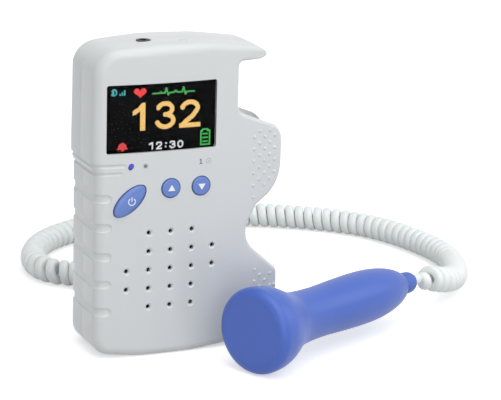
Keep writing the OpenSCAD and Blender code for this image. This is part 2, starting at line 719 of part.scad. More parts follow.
// The least gap between the cable and itself, a turn or more apart, measured on its centre line.
near_rings = 6;
far_rings = 13;
curl_gaps = [for (i = [0 : ring_count - far_rings - 1], k = [near_rings : far_rings])
    norm(curl_line[i][0] - curl_line[i + k][0]) - cable_d];
strand_gaps = [for (i = [0 : curl_rings : ring_count], k = [i + 60 : curl_rings : ring_count])
    norm(curl_line[i][0] - curl_line[k][0]) - curl_d];
echo(turns = turn_count, least_gap = min(curl_gaps), least_strand_gap = min(strand_gaps), cord_run = cord_end,
     cable_length = turn_count * norm([2 * PI * curl_r, cord_end / turn_count]));

module curly_cord() {
    color([0.93, 0.94, 0.93]) polyhedron(
        [for (i = [0 : cord_n - 1]) each cord_ring(i)],
        concat([for (f = bands(cord_n, cord_sides)) [f[2], f[1], f[0]]], [[for (i = [0 : cord_sides - 1]) i]],
               [[for (i = [cord_sides - 1 : -1 : 0]) (cord_n - 1) * cord_sides + i]]), convexity = 20);
}

front_case();
rear_case();
battery_door();
door_hinge_pin();
case_screws();
display_window();
display_frame();
display_panel();
display_backlight();
display_ribbon();
main_board();
board_screws();
board_chips();
status_lens();
status_led();
power_button();
power_plunger();
up_button();
up_plunger();
down_button();
down_plunger();
power_switch();
up_switch();
down_switch();
speaker_basket();
speaker_cone();
speaker_magnet();
speaker_gasket();
grille_cloth();
earphone_jack();
battery_cells();
battery_contacts();
battery_springs();
cord_boot();
curly_cord();
probe_boot();
probe_housing();
probe_face();
transmit_crystal();
receive_crystal();
crystal_backing();
probe_board();
cord_clamp();
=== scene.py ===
import math
import bmesh
import bpy
from mathutils import Matrix, Vector


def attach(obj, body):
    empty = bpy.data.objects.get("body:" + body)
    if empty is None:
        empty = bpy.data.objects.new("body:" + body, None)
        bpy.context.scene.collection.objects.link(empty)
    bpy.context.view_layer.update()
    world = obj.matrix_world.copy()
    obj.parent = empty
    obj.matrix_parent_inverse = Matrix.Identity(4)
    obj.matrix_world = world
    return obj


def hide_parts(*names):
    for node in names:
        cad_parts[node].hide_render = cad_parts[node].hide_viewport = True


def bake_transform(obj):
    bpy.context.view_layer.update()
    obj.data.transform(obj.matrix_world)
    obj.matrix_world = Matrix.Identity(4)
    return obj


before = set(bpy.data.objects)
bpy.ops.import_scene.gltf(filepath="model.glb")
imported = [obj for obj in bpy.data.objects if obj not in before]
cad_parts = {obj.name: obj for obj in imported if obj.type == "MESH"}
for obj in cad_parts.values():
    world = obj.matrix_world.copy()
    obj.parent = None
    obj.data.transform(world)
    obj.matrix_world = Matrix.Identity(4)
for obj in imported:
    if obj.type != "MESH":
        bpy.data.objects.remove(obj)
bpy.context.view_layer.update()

# ---- Camera, floor and studio light -------------------------------------------------------------
# The camera stands a metre away, a little above the unit and to its left, with a long lens.
# The floor is a pale sheet that fades to white, under a large soft lamp, three fill lamps and a strip.
seen_right = Vector((0.9219, -0.3866, 0.0236)).normalized()
seen_up = Vector((0.0804, 0.2505, 0.9648))
seen_up = (seen_up - seen_up.dot(seen_right) * seen_right).normalized()
seen_back = seen_right.cross(seen_up)
lens = bpy.data.cameras.new("photo_lens")
lens.lens, lens.sensor_width, lens.sensor_fit = 176.05, 36.0, "HORIZONTAL"
lens.clip_start, lens.clip_end = 0.05, 50
camera = bpy.data.objects.new("photo_camera", lens)
camera.matrix_world = Matrix((seen_right, seen_up, seen_back)).transposed().to_4x4()
camera.location = (-0.3929, -1.0335, 0.3708)
bpy.context.collection.objects.link(camera)
bpy.context.scene.camera = camera
bpy.context.scene.view_settings.view_transform = "Standard"

for name, place, aim, size, power in (
        ("top_softbox", (0.05, -0.5, 1.45), (0.03, 0.02, 0.03), 1.4, 11.0),
        ("front_fill", (0.1, -1.4, 0.8), (0.03, 0, 0.07), 0.9, 4.5),
        ("right_fill", (1.2, -0.4, 0.7), (0.05, 0, 0.05), 0.8, 3.0),
        ("left_strip", (-1.2, -0.55, 0.2), (0, 0, 0.07), 0.35, 0.55),
        ("low_fill", (-0.3, -1.1, 0.16), (0.05, 0, 0.03), 0.5, 1.7)):
    lamp = bpy.data.lights.new(name, "AREA")
    lamp.size, lamp.energy = size, power
    holder = bpy.data.objects.new(name, lamp)
    holder.location = place
    holder.rotation_euler = (Vector(aim) - Vector(place)).to_track_quat("-Z", "Y").to_euler()
    bpy.context.collection.objects.link(holder)


def seen_share(tree):
    """1 for rays from the camera, metal or glass, and 0 for the light on the object."""
    rays = tree.nodes.new("ShaderNodeLightPath")
    share = rays.outputs["Is Camera Ray"]
    for kind in ("Is Glossy Ray", "Is Transmission Ray"):
        either = tree.nodes.new("ShaderNodeMath")
        either.operation = "MAXIMUM"
        tree.links.new(share, either.inputs[0])
        tree.links.new(rays.outputs[kind], either.inputs[1])
        share = either.outputs[0]
    return share


world = bpy.data.worlds.new("studio")
world.use_nodes = True
sky = world.node_tree
sky.nodes.clear()
sky_out = sky.nodes.new("ShaderNodeOutputWorld")
sky_seen = sky.nodes.new("ShaderNodeMixShader")
sky_light = sky.nodes.new("ShaderNodeBackground")
sky_light.inputs["Color"].default_value = (0.95, 0.97, 1, 1)
sky_light.inputs["Strength"].default_value = 0.48
sky_white = sky.nodes.new("ShaderNodeBackground")
sky_white.inputs["Color"].default_value = (1, 1, 1, 1)
sky_white.inputs["Strength"].default_value = 1
sky.links.new(seen_share(sky), sky_seen.inputs["Fac"])
sky.links.new(sky_light.outputs[0], sky_seen.inputs[1])
sky.links.new(sky_white.outputs[0], sky_seen.inputs[2])
sky.links.new(sky_seen.outputs[0], sky_out.inputs["Surface"])
bpy.context.scene.world = world


def blank_finish(name):
    """A new material, its node tree and its shader."""
    finish = bpy.data.materials.new(name)
    finish.use_nodes = True
    return finish, finish.node_tree, finish.node_tree.nodes["Principled BSDF"]


floor_mesh = bpy.data.meshes.new("floor")
floor_mesh.from_pydata([(-6, -6, 0), (6, -6, 0), (6, 6, 0), (-6, 6, 0)], [], [(0, 1, 2, 3)])
floor = bpy.data.objects.new("floor", floor_mesh)
bpy.context.collection.objects.link(floor)
floor_finish, floor_tree, paper = blank_finish("floor_paper")
paper.inputs["Roughness"].default_value = 0.9
paper.inputs["Emission Color"].default_value = (1, 1, 1, 1)
paper_seen = seen_share(floor_tree)
for unseen, more, socket in ((0.5, 0.28, "Base Color"), (0, 0.52, "Emission Strength")):
    lift = floor_tree.nodes.new("ShaderNodeMath")
    lift.operation = "MULTIPLY_ADD"
    lift.inputs[1].default_value = more
    lift.inputs[2].default_value = unseen
    floor_tree.links.new(paper_seen, lift.inputs[0])
    floor_tree.links.new(lift.outputs[0], paper.inputs[socket])
floor_mesh.materials.append(floor_finish)


# ---- Curly cord ---------------------------------------------------------------------------------
# A round rubber-skinned cable, wound into a closed coil and set by heat, so that it springs back.
# It leaves the probe's boot, lies round the back of the unit on the table and ends in the unit's back.
# Soft rubber has a faint cloudy sheen.
MM = 0.001


def grain_group():
    """Fine moulded grain: a cloudy change of shade, a spread of roughness and a height for a Bump node."""
    group = bpy.data.node_groups.new("moulded_grain", "ShaderNodeTree")
    add = group.interface.new_socket
    add("Vector", in_out="INPUT", socket_type="NodeSocketVector")
    for name, value in (("Grain per mm", 6.0), ("Cloud per mm", 0.05), ("Roughness", 0.4), ("Spread", 0.05)):
        add(name, in_out="INPUT", socket_type="NodeSocketFloat").default_value = value
    for name in ("Cloud", "Roughness", "Height"):
        add(name, in_out="OUTPUT", socket_type="NodeSocketFloat")
    n, link = group.nodes, group.links.new
    given, made = n.new("NodeGroupInput"), n.new("NodeGroupOutput")
    noises = []
    for name, detail in (("Grain per mm", 2), ("Cloud per mm", 3)):
        per_metre = n.new("ShaderNodeMath")
        per_metre.operation = "MULTIPLY"
        per_metre.inputs[1].default_value = 1000
        link(given.outputs[name], per_metre.inputs[0])
        noise = n.new("ShaderNodeTexNoise")
        noise.inputs["Detail"].default_value = detail
        link(given.outputs["Vector"], noise.inputs["Vector"])
        link(per_metre.outputs[0], noise.inputs["Scale"])
        noises.append(noise.outputs["Fac"])
    grain, cloud = noises
    centred = n.new("ShaderNodeMath")
    centred.operation = "SUBTRACT"
    centred.inputs[1].default_value = 0.5
    link(cloud, centred.inputs[0])
    spread = n.new("ShaderNodeMath")
    spread.operation = "MULTIPLY_ADD"
    link(centred.outputs[0], spread.inputs[0])
    link(given.outputs["Spread"], spread.inputs[1])
    link(given.outputs["Roughness"], spread.inputs[2])
    link(cloud, made.inputs["Cloud"])
    link(spread.outputs[0], made.inputs["Roughness"])
    link(grain, made.inputs["Height"])
    return group


moulded_grain = grain_group()


def mix_colours(tree, share, a, b, socket):
    """Leads a mix of two colours, by share, into a socket."""
    mix = tree.nodes.new("ShaderNodeMix")
    mix.data_type = "RGBA"
    mix.inputs["A"].default_value = (*a, 1)
    mix.inputs["B"].default_value = (*b, 1)
    tree.links.new(share, mix.inputs["Factor"])
    tree.links.new(mix.outputs["Result"], socket)


def moulded(name, colour, roughness, grain, depth, cloud, shade, spread=0.08, coat=0.0, metal=0.0,
            subsurface=0.0):
    """A moulded or cast finish: its colour clouds by shade, and its grain stands depth millimetres high."""
    finish, tree, surface = blank_finish(name)
    where = tree.nodes.new("ShaderNodeTexCoord")
    texture = tree.nodes.new("ShaderNodeGroup")
    texture.node_tree = moulded_grain
    for socket, value in (("Grain per mm", grain), ("Cloud per mm", cloud), ("Roughness", roughness),
                          ("Spread", spread)):
        texture.inputs[socket].default_value = value
    tree.links.new(where.outputs["Object"], texture.inputs["Vector"])
    mix_colours(tree, texture.outputs["Cloud"], [c * (1 - shade) for c in colour],
                [min(1, c * (1 + shade)) for c in colour], surface.inputs["Base Color"])
    tree.links.new(texture.outputs["Roughness"], surface.inputs["Roughness"])
    bump = tree.nodes.new("ShaderNodeBump")
    bump.inputs["Distance"].default_value = depth * MM
    bump.inputs["Strength"].default_value = 1
    tree.links.new(texture.outputs["Height"], bump.inputs["Height"])
    tree.links.new(bump.outputs["Normal"], surface.inputs["Normal"])
    for socket, value in (("Metallic", metal), ("Coat Weight", coat), ("Subsurface Weight", subsurface),
                          ("Subsurface Scale", 2 * MM)):
        surface.inputs[socket].default_value = value
    return finish


def as_mesh(bm, name):
    mesh = bpy.data.meshes.new(name)
    bm.to_mesh(mesh)
    bm.free()
    return mesh


def piece_from(bm, name, finish, body, smooth=35):
    """A bmesh in millimetres as a piece in metres, with its normals outwards, smooth under an angle."""
    bmesh.ops.remove_doubles(bm, verts=bm.verts, dist=0.0005)
    bmesh.ops.recalc_face_normals(bm, faces=bm.faces)
    mesh = as_mesh(bm, name)
    mesh.transform(Matrix.Scale(MM, 4))
    return piece_of(mesh, name, finish, body, smooth)


def piece_of(mesh, name, finish, body, smooth=35):
    mesh.name = name
    mesh.polygons.foreach_set("use_smooth", [True] * len(mesh.polygons))
    mesh.set_sharp_from_angle(angle=math.radians(smooth))
    mesh.materials.clear()
    mesh.materials.append(finish)
    piece = bpy.data.objects.new(name, mesh)
    bpy.context.collection.objects.link(piece)
    if body:
        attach(piece, body)
    return piece


cable_d, curl_d, curl_gap = 4.6, 13.0, 0.55
probe_at = Vector((24.8, -59.6, 20.5))
probe_heading, probe_fall = math.radians(63), math.radians(1)
probe_len = 122.5
tail_way = Vector((math.sin(probe_heading) * math.cos(probe_fall),
                   math.cos(probe_heading) * math.cos(probe_fall), -math.sin(probe_fall)))
tail = probe_at + probe_len * tail_way
cord_route = [tail, tail + 5.5 * tail_way] + [Vector(p) for p in (
    (147, 0.5, 17), (158, 7, 13.5), (170, 20, 10), (180, 38, 7.8), (187, 57, 6.8), (189, 75, 6.7), (187, 93, 6.7),
    (182, 113, 6.7), (173, 132, 6.7), (160, 147, 6.7), (143, 160, 6.7), (121, 172, 6.7), (95, 180, 6.7),
    (68, 183, 6.7), (42, 180, 6.7), (18, 171, 6.7), (-2, 157, 6.7), (-15, 138, 6.7), (-20, 118, 6.7),
    (-16, 104, 6.7), (-6, 95, 6.7), (4, 84, 6.7), (10, 70, 7), (12, 55, 9), (12, 43, 11.6), (12, 36, 12),
    (12, 26, 12), (12, 14, 12))]


def along(points, steps):
    """A smooth curve through points, with its direction at each place."""
    curve = []
    for i in range(len(points) - 1):
        a, b, c, d = points[max(0, i - 1)], points[i], points[i + 1], points[min(len(points) - 1, i + 2)]
        for k in range(steps):
            t = k / steps
            curve.append(0.5 * (2 * b + (c - a) * t + (2 * a - 5 * b + 4 * c - d) * t * t
                                + (3 * b - a - 3 * c + d) * t ** 3))
    curve.append(points[-1])
    return curve


run = along(cord_route, 10)
last = len(run) - 1
ways = [(run[min(i + 1, last)] - run[max(i - 1, 0)]).normalized() for i in range(last + 1)]
gone = [0.0]
for i in range(last):
    gone.append(gone[-1] + (run[i + 1] - run[i]).length)
curl_r = (curl_d - cable_d) / 2
boot_len, curl_margin = 21, 0.6
curl_from, curl_to = cable_d + curl_margin, gone[-1] - boot_len - cable_d - curl_margin
pitches = []
for i in range(last + 1):
    lo, hi = max(i - 1, 0), min(i + 1, last)
    bend = (ways[hi] - ways[lo]).length / (gone[hi] - gone[lo])
    pitches.append((cable_d + curl_gap) / (1 - curl_r * bend))
turns = [0.0]
for i in range(last):
    share = max(0, min(gone[i + 1], curl_to) - max(gone[i], curl_from))
    turns.append(turns[-1] + share / pitches[i])


def look_up(value, keys, rows):
    """The row that belongs to value, on straight lines between the keys."""
    for i in range(len(keys) - 1):
        if value <= keys[i + 1]:
            t = 0 if keys[i + 1] == keys[i] else (value - keys[i]) / (keys[i + 1] - keys[i])
            return rows[i] + (rows[i + 1] - rows[i]) * max(0, min(1, t))
    return rows[-1]


marks = [0.0] + [turns[i] for i in range(last + 1) if curl_from < gone[i] < curl_to] + [turns[-1]]
stops = [curl_from] + [gone[i] for i in range(last + 1) if curl_from < gone[i] < curl_to] + [curl_to]


def ease(x):
    """From 0 to 1, with a slow start and end."""
    x = max(0.0, min(1.0, x))
    return x * x * (3 - 2 * x)


rings_per_turn = 20
ring_count = int(turns[-1] * rings_per_turn)
cable = [run[0], look_up(curl_from * 0.6, gone, run)]
cable_faces = []
for k in range(ring_count + 1):
    t = k / rings_per_turn
    d = look_up(t, marks, stops)
    w = look_up(d, gone, ways).normalized()
    side = Vector((-w.y, w.x, 0)).normalized()
    out = math.cos(math.tau * t) * side + math.sin(math.tau * t) * w.cross(side)
    cable.append(look_up(d, gone, run) + curl_r * ease(t) * ease(ring_count / rings_per_turn - t) * out)
    cable_faces.append(out)
for k in range(1, 9):
    cable.append(look_up(curl_to + (gone[-1] - curl_to) * k / 8, gone, run))
cable_faces = [cable_faces[0]] * 2 + cable_faces + [cable_faces[-1]] * 8


def cable_skin(bm, path, facing, radius, sides):
    """The cable along its path, of a slightly squared section, so that the coil's turns lie flat together."""
    count = len(path)
    rows = []
    for i, p in enumerate(path):
        t = (path[min(i + 1, count - 1)] - path[max(i - 1, 0)]).normalized()
        lean = (facing[i] - t * facing[i].dot(t)).normalized()
        across = t.cross(lean)
        row = []
        for k in range(sides):
            c, s = math.cos(math.tau * k / sides), math.sin(math.tau * k / sides)
            u = math.copysign(abs(c) ** 0.7, c) * radius
            v = math.copysign(abs(s) ** 0.7, s) * radius * 1.04
            row.append(bm.verts.new(p + u * lean + v * across))
        rows.append(row)
    for a, b in zip(rows, rows[1:]):
        for k in range(sides):
            bm.faces.new((a[k], a[(k + 1) % sides], b[(k + 1) % sides], b[k]))
    bm.faces.new(rows[0][::-1])
    bm.faces.new(rows[-1])


cord_skin = moulded("cord_rubber", (0.83, 0.87, 0.85), 0.38, grain=1.2, depth=0.02, cloud=0.02, shade=0.03,
                    coat=0.1, subsurface=0.08)
bm = bmesh.new()
cable_skin(bm, cable, cable_faces, cable_d / 2, 14)
cord = piece_from(bm, "curly_cord_skin", cord_skin, None, 60)
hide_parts("curly_cord")
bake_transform(cord)


# ---- Front and rear shells ----------------------------------------------------------------------
# Two thin-walled halves of glossy pale grey plastic, moulded, and screwed together from the back.
# Both follow one outline: a bowed block with a hook at its top right and a wing with a channel below it,
# where the probe hangs. Their faces are slightly crowned, and the seam between them shows as a fine line.
edge_r, side_edge, nose_edge, top_edge = 4.5, 1.7, 0.8, 5.8
outline_corners = [
    (-36.1, 2.6, 8, edge_r), (-14, 0, 40, edge_r), (14, 0, 40, edge_r), (36.0, 1.6, 20, edge_r),
    (57.4, 2.4, 13, side_edge), (57.2, 35.0, 5, side_edge), (36.9, 52.8, 12, side_edge),
    (45.2, 67.8, 5, side_edge), (58.2, 76.8, 20, side_edge), (58.3, 104.1, 9, side_edge),
    (34.5, 112.9, 6, side_edge), (34.5, 137.0, 2.2, side_edge), (46.5, 137.6, 6, nose_edge),
    (49.2, 139.6, 1.3, nose_edge), (47.6, 141.9, 3, nose_edge), (43.6, 143.7, 14, 2.2),
    (25.0, 147.6, 60, edge_r), (-5.0, 148.5, 100, top_edge), (-36.5, 145.7, 13, edge_r),
    (-37.3, 100.0, 0, edge_r), (-37.3, 93.6, 8, edge_r),
    (-35.9, 88.4, 5, edge_r), (-35.9, 30.0, 0, edge_r)]
case_half_d, crown_r, crown_x, crown_reach, wall = 20.0, 231.0, -2.7, 33.0, 2.2


def face_depth(x):
    """How far the crowned face stands from the seam at x."""
    d = abs(x - crown_x)
    inner = min(d, crown_reach)
    slope = crown_reach / math.sqrt(crown_r ** 2 - crown_reach ** 2)
    return case_half_d - (crown_r - math.sqrt(crown_r ** 2 - inner ** 2) + max(0, d - crown_reach) * slope)


def inner_depth(x):
    """The same for the inside of the wall."""
    return math.sqrt((crown_r - wall) ** 2 - (x - crown_x) ** 2) - (crown_r - case_half_d)


def fade(v, a, b):
    """0 at a and 1 at b, and level beyond them."""
    return max(0.0, min(1.0, (v - a) / (b - a)))


def top_fall(x, z, y):
    """How far the top falls away towards the back."""
    return 1.6 * fade(z, 136, 146) * fade(x, 46, 26) * (y + case_half_d) / (2 * case_half_d)


def round_corners(corners, turn_step=5, max_step=3.0):
    """The outline's points, each with its outward direction and how round the shell's edge is there."""
    ring = []
    n = len(corners)
    for i in range(n):
        a, b, c = (Vector(corners[j % n][:2]) for j in (i - 1, i, i + 1))
        r, e = corners[i][2], corners[i][3]
        u, v = (b - a).normalized(), (c - b).normalized()
        turn = math.atan2(u.x * v.y - u.y * v.x, u.dot(v))
        side = math.copysign(r, turn)
        start = b - u * r * abs(math.tan(turn / 2))
        middle = start - Vector((u.y, -u.x)) * side
        steps = 0 if r == 0 else max(2, math.ceil(abs(math.degrees(turn)) / turn_step))
        for k in range(steps + 1):
            t = turn * (0.5 if steps == 0 else k / steps)
            d = Vector((u.x * math.cos(t) - u.y * math.sin(t), u.x * math.sin(t) + u.y * math.cos(t)))
            outward = Vector((d.y, -d.x))
            p = middle + outward * side
            ring.append((p.x, p.y, outward.x, outward.y, e))
    whole = []
    for i, p in enumerate(ring):
        q = ring[(i + 1) % len(ring)]
        parts = max(1, math.ceil(math.hypot(q[0] - p[0], q[1] - p[1]) / max_step))
        whole += [tuple(p[j] + (q[j] - p[j]) * k / parts for j in range(5)) for k in range(parts)]
    return whole


outline = round_corners(outline_corners)


def shell_ring(inset, rise, way):
    """A ring on the rounded edge of one half; inset and rise are shares of the edge's roundness."""
    ring = []
    for x0, z0, nx, nz, e in outline:
        off = 0.3 * fade(nz, -0.8, -0.2) + e * inset
        x, z = x0 - nx * off, z0 - nz * off
        y = way * (face_depth(x) - e * (1 - rise))
        ring.append(Vector((x, y, z - top_fall(x, z0, y))))
    return ring


def seam_ring(inset, y):
    return [Vector((x - nx * inset, y, z - nz * inset - top_fall(x, z, y))) for x, z, nx, nz, _ in outline]


def skin(bm, rings, close_first=True):
    """Faces between rings of equal length; returns the rows of vertices."""
    rows = [[bm.verts.new(p) for p in ring] for ring in rings]
    n = len(rows[0])
    for a, b in zip(rows, rows[1:]):
        for k in range(n):
            bm.faces.new((a[k], a[(k + 1) % n], b[(k + 1) % n], b[k]))
    if close_first:
        bm.faces.new(rows[0][::-1])
    return rows


def crown_between(bm, rim, width, depth):
    """Closes a rim with a face cut into upright strips, so that it follows depth(x)."""
    strips = [bm.faces.new(rim)]
    low, high = min(v.co.x for v in rim), max(v.co.x for v in rim)
    rim = set(rim)
    for step in range(math.ceil(low / width), math.floor(high / width) + 1):
        geom = list({v for f in strips for v in f.verts}) + list({e for f in strips for e in f.edges}) + strips
        cut = bmesh.ops.bisect_plane(bm, geom=geom, plane_co=(step * width + 0.07, 0, 0), plane_no=(1, 0, 0),
                                     dist=1e-4)
        strips = [g for g in cut["geom"] if isinstance(g, bmesh.types.BMFace)]
    for v in {v for f in strips for v in f.verts} - rim:
        v.co.y = depth(v.co.x)


def solid_half(way):
    """One half of the block, solid. Its face is cut at every 2 mm and set to the crown."""
    bm = bmesh.new()
    rings = [seam_ring(0.16, way * 0.01), seam_ring(0.03, way * 0.14), seam_ring(0, way * 0.3)]
    rings += [shell_ring(1 - math.cos(math.radians(a)), math.sin(math.radians(a)), way)
              for a in (0, 7.5, 15, 22.5, 30, 37.5, 45, 52.5, 60, 67.5, 75, 82.5, 90)]
    rows = skin(bm, rings)
    crown_between(bm, rows[-1], 2.0, lambda x: way * face_depth(x))
    bmesh.ops.triangulate(bm, faces=bm.faces)
    bmesh.ops.dissolve_degenerate(bm, edges=bm.edges, dist=1e-4)
    bmesh.ops.recalc_face_normals(bm, faces=bm.faces)
    return bm


def prism(bm, points, y0, y1):
    """A solid of constant outline along Y; points are x and z."""
    rows = skin(bm, [[Vector((x, y, z)) for x, z in points] for y in (y0, y1)])
    bm.faces.new(rows[1])


def rod(bm, at, r0, r1, y0, y1, sides=48):
    """A round plug along Y at x, z; its radius goes from r0 at y0 to r1 at y1."""
    ends = [[Vector((at[0] + r * math.cos(math.tau * k / sides), y, at[1] + r * math.sin(math.tau * k / sides)))
             for k in range(sides)] for r, y in ((r0, y0), (r1, y1))]
    rows = skin(bm, ends)
    bm.faces.new(rows[1])


def turned(bm, profile, place, sides=64):
    """A closed solid turned about Z; profile is radius and height, from the axis and back to it."""
    rows = []
    for r, h in profile:
        on_axis = r < 1e-6
        rows.append([bm.verts.new(place @ Vector((0, 0, h) if on_axis else (
            r * math.cos(math.tau * k / sides), r * math.sin(math.tau * k / sides), h)))
            for k in range(1 if on_axis else sides)])
    for a, b in zip(rows, rows[1:]):
        for k in range(sides):
            j = (k + 1) % sides
            if len(a) == 1 and len(b) > 1:
                bm.faces.new((a[0], b[k], b[j]))
            elif len(b) == 1 and len(a) > 1:
                bm.faces.new((a[k], a[j], b[0]))
            elif len(a) > 1:
                bm.faces.new((a[k], a[j], b[j], b[k]))


def as_bmesh(mesh):
    bm = bmesh.new()
    bm.from_mesh(mesh)
    return bm


def cut_with(mesh, *cutters, operation="DIFFERENCE"):
    """mesh with each cutter taken out or added; a cutter is a function that fills a bmesh with solids."""
    for cutter in cutters:
        tool = bmesh.new()
        cutter(tool)
        bmesh.ops.triangulate(tool, faces=tool.faces)
        bmesh.ops.recalc_face_normals(tool, faces=tool.faces)
        holder, knife = bpy.data.objects.new("work", mesh), bpy.data.objects.new("knife", as_mesh(tool, "tool"))
        for o in (holder, knife):
            bpy.context.collection.objects.link(o)
        cut = holder.modifiers.new("cut", "BOOLEAN")
        cut.operation, cut.solver, cut.object = operation, "EXACT", knife
        bpy.context.view_layer.update()
        mesh = bpy.data.meshes.new_from_object(holder.evaluated_get(bpy.context.evaluated_depsgraph_get()))
        bpy.data.objects.remove(holder)
        bpy.data.objects.remove(knife)
        clean = as_bmesh(mesh)
        bmesh.ops.remove_doubles(clean, verts=clean.verts, dist=2e-4)
        bmesh.ops.dissolve_degenerate(clean, edges=clean.edges, dist=2e-4)
        bmesh.ops.triangulate(clean, faces=clean.faces)
        clean.to_mesh(mesh)
        clean.free()
    return mesh


cavity_corners = [(-33.7, 3.2, 5, 0), (33.8, 3.2, 3, 0), (33.8, 110, 3, 0), (26.4, 113, 3, 0), (26.4, 140, 3, 0),
                  (27.0, 142.6, 3, 0), (-5, 143.6, 60, 0), (-33.0, 141.2, 10, 0)]


def cavity(way):
    """The hollow inside one half, up to its crowned inner face."""
    def fill(bm):
        line = round_corners(cavity_corners, 12, 4.0)
        rows = skin(bm, [[Vector((p[0], -way * 2, p[1])) for p in line],
                         [Vector((p[0], way * inner_depth(p[0]), p[1])) for p in line]])
        crown_between(bm, rows[1], 4.0, lambda x: way * inner_depth(x))
    return fill


cradle_x, cradle_r, pocket_r, pocket_z = 50, 13.3, 21.2, (116.5, 136.6)


def cradle(bm):
    """The channel for the probe's handle and the pocket for its head, on one upright axis."""
    turned(bm, [(0, -1), (cradle_r + 0.6, -1), (cradle_r + 0.6, 0.4), (cradle_r, 1.4),
                (cradle_r, pocket_z[0] - 1.2), (cradle_r + 0.4, pocket_z[0] - 0.35),
                (cradle_r + 1.2, pocket_z[0]), (pocket_r, pocket_z[0]), (pocket_r, pocket_z[1]),
                (0, pocket_z[1])], Matrix.Translation((cradle_x, 0, 0)), 144)


window_x, window_z = (-31.0, 22.4), (98.2, 130.1)


def box_outline(x, z, r):
    """A rectangle with round corners, as x and z."""
    points = []
    for cx, cz, a0 in ((x[1] - r, z[0] + r, -90), (x[1] - r, z[1] - r, 0), (x[0] + r, z[1] - r, 90),
                       (x[0] + r, z[0] + r, 180)):
        points += [(cx + r * math.cos(math.radians(a0 + 11.25 * k)),
                    cz + r * math.sin(math.radians(a0 + 11.25 * k))) for k in range(9)]
    return points


def window_hole(bm):
    prism(bm, box_outline(window_x, window_z, 1.1), -25, -10)


power_at, up_at, down_at, button_r, clear = (-19.8, 75.8), (-0.1, 80.6), (15.0, 80.4), 4.35, 0.14
power_l, power_w, power_tilt = 19.0, 8.8, math.radians(43)


def leaf_outline(grow):
    """The power key's leaf, grown by a margin, as x and z."""
    points = []
    for k in range(72):
        a = math.tau * k / 72
        u = (power_l / 2 + grow) * math.cos(a)
        w = (power_w / 2 + grow) * math.sin(a) * (0.93 + 0.07 * abs(math.sin(a)))
        points.append((power_at[0] + u * math.cos(power_tilt) - w * math.sin(power_tilt),
                       power_at[1] + u * math.sin(power_tilt) + w * math.cos(power_tilt)))
    return points


def pointing(at, way):
    """Stands a turned shape at x, z on the seam, so that it points out of the front (-1) or the back (1)."""
    return Matrix.Translation((at[0], 0, at[1])) @ Matrix.Rotation(-way * math.pi / 2, 4, "X")


def key_holes(bm):
    rows = skin(bm, [[Vector((x, y, z)) for x, z in leaf_outline(clear + g)]
                     for y, g in ((-24, 1.2), (-19.05, 0.0), (-13, 0))])
    bm.faces.new(rows[-1])
    for at in (up_at, down_at):
        face = -face_depth(at[0])
        turned(bm, [(0, -face + 4), (button_r + 1.6, -face + 4), (button_r + clear + 0.25, -face + 0.05),
                    (button_r + clear, -face - 0.2), (button_r + clear, 13), (0, 13)],
               pointing(at, -1), 72)


grille_at, grille_pitch, grille_hole_r = (0.3, 42.2), (10.65, 8.89), 1.0
grille_rows = [(2, (-1, 0, 1)), (1, (-1, 0, 1, 2)), (0, (-2, -1, 0, 1, 2)), (-1, (-2, -1, 0, 1)),
               (-2, (-1, 0, 1))]
led_at, jack_at = (-19.4, 91.9), (-9.0, -5.2)


def lamp_oval(rx, rz):
    """The indicator lamp's outline, which leans a little to the right, as x and z."""
    ring = [(rx * math.cos(math.tau * k / 40), rz * math.sin(math.tau * k / 40)) for k in range(40)]
    return [(led_at[0] + x + 0.2 * z, led_at[1] + z) for x, z in ring]


def small_holes(bm):
    """The grille's holes with their countersinks, the lamp's hole and the earphone socket's."""
    for row, columns in grille_rows:
        for column in columns:
            at = (grille_at[0] + column * grille_pitch[0], grille_at[1] + row * grille_pitch[1])
            face = -face_depth(at[0])
            turned(bm, [(0, -face + 2), (grille_hole_r + 2.8, -face + 2), (grille_hole_r + 0.9, -face + 0.02),
                        (grille_hole_r + 0.3, -face - 0.3), (grille_hole_r, -face - 0.6), (grille_hole_r, 14),
                        (0, 14)],
                   pointing(at, -1), 28)
    prism(bm, lamp_oval(1.32, 1.6), -24, -13)
    turned(bm, [(0, 140), (3.4, 140), (3.4, 147.1), (4.1, 147.9), (4.1, 153), (0, 153)],
           Matrix.Translation((jack_at[0], jack_at[1], 0)), 48)


def left_edge(z):
    """Where the unit's left side stands at height z."""
    return -37.3 + 1.4 * fade(-z, -93.6, -88.4)


def side_path(z, x_front, x_back):
    """Round the unit's left side at height z, from x_front on the front to x_back on the back."""
    left = left_edge(z)
    path = []

    def face_part(way, x_end):
        x = x_end
        while x > left + 0.3 + edge_r:
            path.append((Vector((x, way * face_depth(x), z)), Vector((0, way, 0))))
            x -= 0.8

    def edge_part(way):
        for k in range(13):
            a = math.radians(90 - 7.5 * k)
            x = left + 0.3 + edge_r * (1 - math.cos(a))
            path.append((Vector((x, way * (face_depth(x) - edge_r * (1 - math.sin(a))), z)),
                         Vector((-math.cos(a), way * math.sin(a), 0))))

    face_part(-1, x_front)
    edge_part(-1)
    for k in range(-6, 7):
        y = k * 2.1
        path.append((Vector((left + 0.3 * abs(y) / 15.5, y, z)), Vector((-1, 0, 0))))
    turn = len(path)
    face_part(1, x_back)
    edge_part(1)
    return path[:turn] + path[turn:][::-1]


